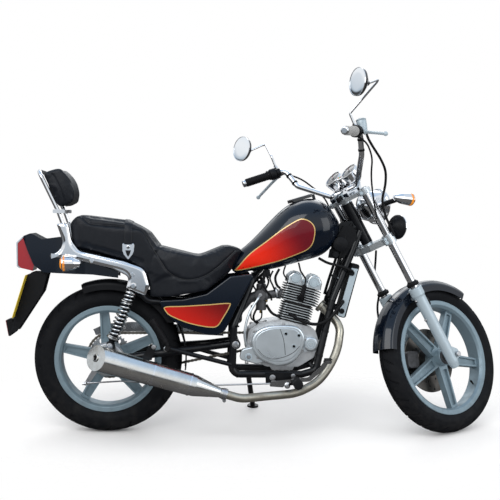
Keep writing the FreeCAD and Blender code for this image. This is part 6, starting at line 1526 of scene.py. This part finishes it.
    def gauges(self, maker):
        """Two dials with marks, needles and chrome rims, and three small lights between them."""
        tilt = Vector((-0.42, 0, 0.91)).normalized()
        base = Vector((66, 0, UPPER_FACE + 42))
        aside, up = across(tilt)
        marks = 24
        for side in SIDES:
            centre = base + Vector((0, side * 52, 0)) + tilt * 52
            maker.lathe([(-3, 40.2), (0.5, 40.6), (3.5, 39), (3.5, 36), (0.6, 35.6)], centre, tilt, "chrome",
                        48)
            maker.lathe([(0.6, 36), (0.9, 34), (0.9, 0)], centre, tilt, "dial", 48)
            for index in range(marks):
                angle = math.radians(-130 + 260 * index / (marks - 1))
                outward = up * math.cos(angle) + aside * math.sin(angle)
                inner = 27 if index % 4 == 0 else 30
                maker.tube([centre + outward * inner + tilt * 1.2, centre + outward * 33 + tilt * 1.2], 0.45,
                           "dial_mark", 4, 1)
            needle = up * -0.6 + aside * -0.8
            maker.tube([centre + tilt * 2.2, centre + needle * 28 + tilt * 2.2], 0.9, "red_lens", 6, 1)
            maker.lathe([(0.9, 5), (3.2, 4.6), (3.2, 0)], centre, tilt, "black_gloss", 20)
        panel = base + Vector((-14, 0, 0)) + tilt * 46
        for index, colour in enumerate(("amber_lens", "green_lens", "red_lens")):
            maker.lathe([(0, 3.6), (1.4, 3.2), (1.8, 0)], panel + up * (index * 8 - 8), tilt, colour, 16)

    def horn(self, maker):
        """The horn's chrome rim, the bars over its mouth and its bolt behind."""
        horn = Vector((96, -96, 566))
        mouth = 42
        maker.lathe([(8, 50.2), (11, 50.6), (12.5, 48), (9.5, 46), (9.5, 40)], horn, AHEAD, "chrome", 48)
        for index in range(-5, 6):
            y = index * 7.5
            reach = math.sqrt(mouth ** 2 - y * y)
            middle = horn + AHEAD * 11.5 + Vector((0, y, 0))
            maker.tube([middle - UPWARD * reach, middle + UPWARD * reach], 1.2, "black_gloss", 6, 1)
        maker.lathe([(-37, 0), (-37, 6), (-30, 6), (-30, 9), (-24, 9)], horn, AHEAD, "steel", 18)

    def front_brake(self):
        """The caliper's bolts and piston cap, and the fixings of the front fender."""
        maker = Maker("front_brake_details", FRONT_HUB)
        for degrees in (-78, -46):
            angle = math.radians(degrees)
            maker.bolt((math.sin(angle) * 112, 85, math.cos(angle) * 112), (0, 1, 0), 6, "steel")
        maker.lathe([(0, 20), (4, 20), (6, 18), (6, 12), (4, 11), (4, 0)], (-99, 84.5, 53), (0, 1, 0),
                    "cast_dark", 30)
        for side in SIDES:
            for x, z in ((-168, 232), (-158, 256)):
                maker.bolt((x, side * 63.5, z), (0, side, 0), 5, "chrome")
        maker.done("fork")

    def hubs(self):
        """Dark discs of painted shade where the disc's holes are, disc bolts, a hub cap, sprocket nuts and
        valve stems.
        """
        front = Maker("front_wheel_details", FRONT_HUB)
        # Painted shade: dark discs on both faces of the brake disc where its holes are
        for index in range(30):
            place = ray(12 * index) * (82, 96, 110, 122)[index % 4]
            for face, out in ((54.4, -1), (59.6, 1)):
                front.lathe([(0, 4.6), (0.3, 4.4), (0.3, 0)], place + Vector((0, face, 0)), (0, out, 0),
                            "joint_and_recess_shade", 14)
        for index in range(5):
            front.bolt(ray(72 * index + 20) * 50 + Vector((0, 60, 0)), (0, 1, 0), 5.5, "steel")
        front.lathe([(0, 26), (0, 31), (5, 31), (7, 28), (7, 18)], (0, -44.3, 0), AWAY, "cast_dark", 36)
        stem = self.valve(front, ray(-31), 222, 196)
        front.lathe(stub(4.2, 9, 1, 1.2), stem, Vector((0, -0.3, 0)) - ray(-31), "black_plastic", 12)
        front.done("front_wheel")
        rear = Maker("rear_wheel_details", REAR_HUB)
        for index in range(5):
            rear.bolt(ray(72 * index) * 40 + Vector((0, 76, 0)), (0, 1, 0), 6, "steel")
        self.valve(rear, ray(12), 196, 172)
        rear.done("rear_wheel")

    def valve(self, maker, outward, rim_reach, tip_reach):
        """A valve stem that stands inward from the rim, leaning right; gives back its tip."""
        tip = outward * tip_reach + Vector((0, -12, 0))
        maker.tube([outward * rim_reach + Vector((0, -3, 0)), tip], 3.4, "rubber", 12, 1)
        return tip


class MOTORCYCLE_OT_stage(bpy.types.Operator):
    """Adds the pale floor, the soft studio lights and the camera"""
    bl_idname = "motorcycle.stage"
    bl_label = "Stage"

    def execute(self, context):
        reach = 30.0
        corners = [(-reach, -reach, 0), (reach, -reach, 0), (reach, reach, 0), (-reach, reach, 0)]
        mesh = bpy.data.meshes.new("floor")
        mesh.from_pydata(corners, [], [(0, 1, 2, 3)])
        mesh.materials.append(floor_material())
        floor = bpy.data.objects.new("floor", mesh)
        context.scene.collection.objects.link(floor)
        studio_world(context.scene)
        studio_lights(context.scene)
        studio_camera(context.scene)
        return {"FINISHED"}


def floor_material():
    """A pale floor that keeps the shadow and fades into the white surround away from the motorcycle."""
    material = bpy.data.materials.new("pale floor")
    material.use_nodes = True
    tree = material.node_tree
    shader = tree.nodes["Principled BSDF"]
    shader.inputs["Roughness"].default_value = 0.95
    shader.inputs["Specular IOR Level"].default_value = 0.05
    pale, dark = (0.95, 0.95, 0.95, 1), (0.10, 0.10, 0.105, 1)
    mirrored_ray = add_node(tree, "LightPath", {}).outputs["Is Glossy Ray"]
    tree.links.new(mixed(tree, mirrored_ray, pale, dark), shader.inputs["Base Color"])
    place = add_node(tree, "TexCoord", {}).outputs["Object"]
    squeezed = add_node(tree, "VectorMath", {0: place, 1: (0.5, 1.0, 0)},
                        operation="MULTIPLY").outputs["Vector"]
    reach = add_node(tree, "VectorMath", {0: squeezed}, operation="LENGTH").outputs["Value"]
    fade = add_node(tree, "MapRange",
                    {"Value": reach, "From Min": 0.35, "From Max": 0.85, "To Min": 1.0, "To Max": 0.0},
                    interpolation_type="SMOOTHSTEP")
    tree.links.new(fade.outputs["Result"], shader.inputs["Alpha"])
    return material


# The surround that polished pieces mirror, from below (0) past the horizon (0.5) to above (1)
SKY = [(0.40, (0.13, 0.13, 0.13)), (0.495, (0.07, 0.07, 0.07)), (0.515, (0.04, 0.045, 0.05)),
       (0.535, (0.50, 0.58, 0.66)), (0.60, (0.96, 0.98, 1.0)), (0.78, (0.84, 0.92, 1.0)),
       (0.95, (0.52, 0.70, 0.95))]


def studio_world(scene):
    """White for the camera, even light for matt surfaces, and a sky over a dark horizon for glossy ones."""
    world = bpy.data.worlds.new("studio")
    scene.world = world
    world.use_nodes = True
    tree = world.node_tree
    white, soft_white = (1, 1, 1, 1), (0.84, 0.845, 0.86, 1)
    place = add_node(tree, "TexCoord", {}).outputs["Generated"]
    height = add_node(tree, "SeparateXYZ", {0: place}).outputs["Z"]
    scale = add_node(tree, "MapRange", {"Value": height, "From Min": -1, "From Max": 1}).outputs["Result"]
    ramp = add_node(tree, "ValToRGB", {"Fac": scale})
    bands = ramp.color_ramp.elements
    bands[0].position, bands[1].position = SKY[0][0], SKY[-1][0]
    for position, _ in SKY[1:-1]:
        bands.new(position)
    for band, (_, colour) in zip(bands, SKY):
        band.color = (*colour, 1)
    path = add_node(tree, "LightPath", {}).outputs
    shiny = mixed(tree, path["Is Glossy Ray"], soft_white, ramp.outputs["Color"])
    seen = mixed(tree, path["Is Camera Ray"], shiny, white)
    clear = mixed(tree, path["Is Transmission Ray"], seen, white)
    background = tree.nodes["Background"]
    background.inputs["Strength"].default_value = 1.0
    tree.links.new(clear, background.inputs["Color"])
    scene.view_settings.view_transform = "Standard"


def studio_lights(scene):
    """A large key light above the camera's left, a fill from the right and a rim light behind."""
    lights = [
        ("key", (-1.8, -3.2, 3.6), 3.0, 92.0, (1.0, 0.99, 0.97)),
        ("fill", (3.4, -2.4, 2.0), 2.4, 34.0, (0.95, 0.98, 1.0)),
        ("rim", (0.5, 3.2, 3.0), 3.0, 46.0, (1.0, 1.0, 1.0)),
    ]
    for name, place, size, power, colour in lights:
        lamp = bpy.data.lights.new(name, "AREA")
        lamp.size = size
        lamp.energy = power
        lamp.color = colour
        item = bpy.data.objects.new(name, lamp)
        item.location = place
        item.rotation_euler = (Vector((0, 0, 0.6)) - Vector(place)).to_track_quat("-Z", "Y").to_euler()
        scene.collection.objects.link(item)


def studio_camera(scene):
    """The camera at the photograph's place and angle."""
    data = bpy.data.cameras.new("camera")
    data.sensor_width = 36
    data.lens = 74.66
    camera = bpy.data.objects.new("camera", data)
    turn = (Matrix.Rotation(math.radians(-3.68), 4, "Z") @ Matrix.Rotation(math.radians(-8.95), 4, "X")
            @ Matrix.Rotation(math.radians(-1.19), 4, "Y") @ Matrix.Rotation(math.radians(90), 4, "X"))
    camera.matrix_world = Matrix.Translation((-0.31585, -4.23850, 1.3992)) @ turn
    scene.collection.objects.link(camera)
    scene.camera = camera


class MOTORCYCLE_PT_panel(bpy.types.Panel):
    """Lists the motorcycle's sizes, colours and pieces"""
    bl_label = "Motorcycle"
    bl_idname = "MOTORCYCLE_PT_panel"
    bl_space_type = "VIEW_3D"
    bl_region_type = "UI"
    bl_category = "Motorcycle"

    def draw(self, context):
        layout = self.layout
        for settings in SETTINGS:
            group = getattr(context.scene, settings)
            for key in group.__annotations__:
                layout.prop(group, key)
        for operator in OPERATORS:
            layout.operator(operator.bl_idname)


SETTINGS = {"motorcycle_tyres": TyreSettings, "motorcycle_paint": PaintSettings,
            "motorcycle_seat": SeatSettings}
OPERATORS = (MOTORCYCLE_OT_solids, MOTORCYCLE_OT_tyres, MOTORCYCLE_OT_panels, MOTORCYCLE_OT_seat,
             MOTORCYCLE_OT_engine, MOTORCYCLE_OT_chassis, MOTORCYCLE_OT_fork, MOTORCYCLE_OT_stage)


def register():
    for name, settings in SETTINGS.items():
        bpy.utils.register_class(settings)
        setattr(bpy.types.Scene, name, PointerProperty(type=settings))
    for operator in OPERATORS:
        bpy.utils.register_class(operator)
    bpy.utils.register_class(MOTORCYCLE_PT_panel)


def unregister():
    bpy.utils.unregister_class(MOTORCYCLE_PT_panel)
    for operator in reversed(OPERATORS):
        bpy.utils.unregister_class(operator)
    for name, settings in SETTINGS.items():
        delattr(bpy.types.Scene, name)
        bpy.utils.unregister_class(settings)


def main():
    register()
    for operator in OPERATORS:
        group, name = operator.bl_idname.split(".")
        getattr(getattr(bpy.ops, group), name)()


if __name__ == "__main__":
    main()
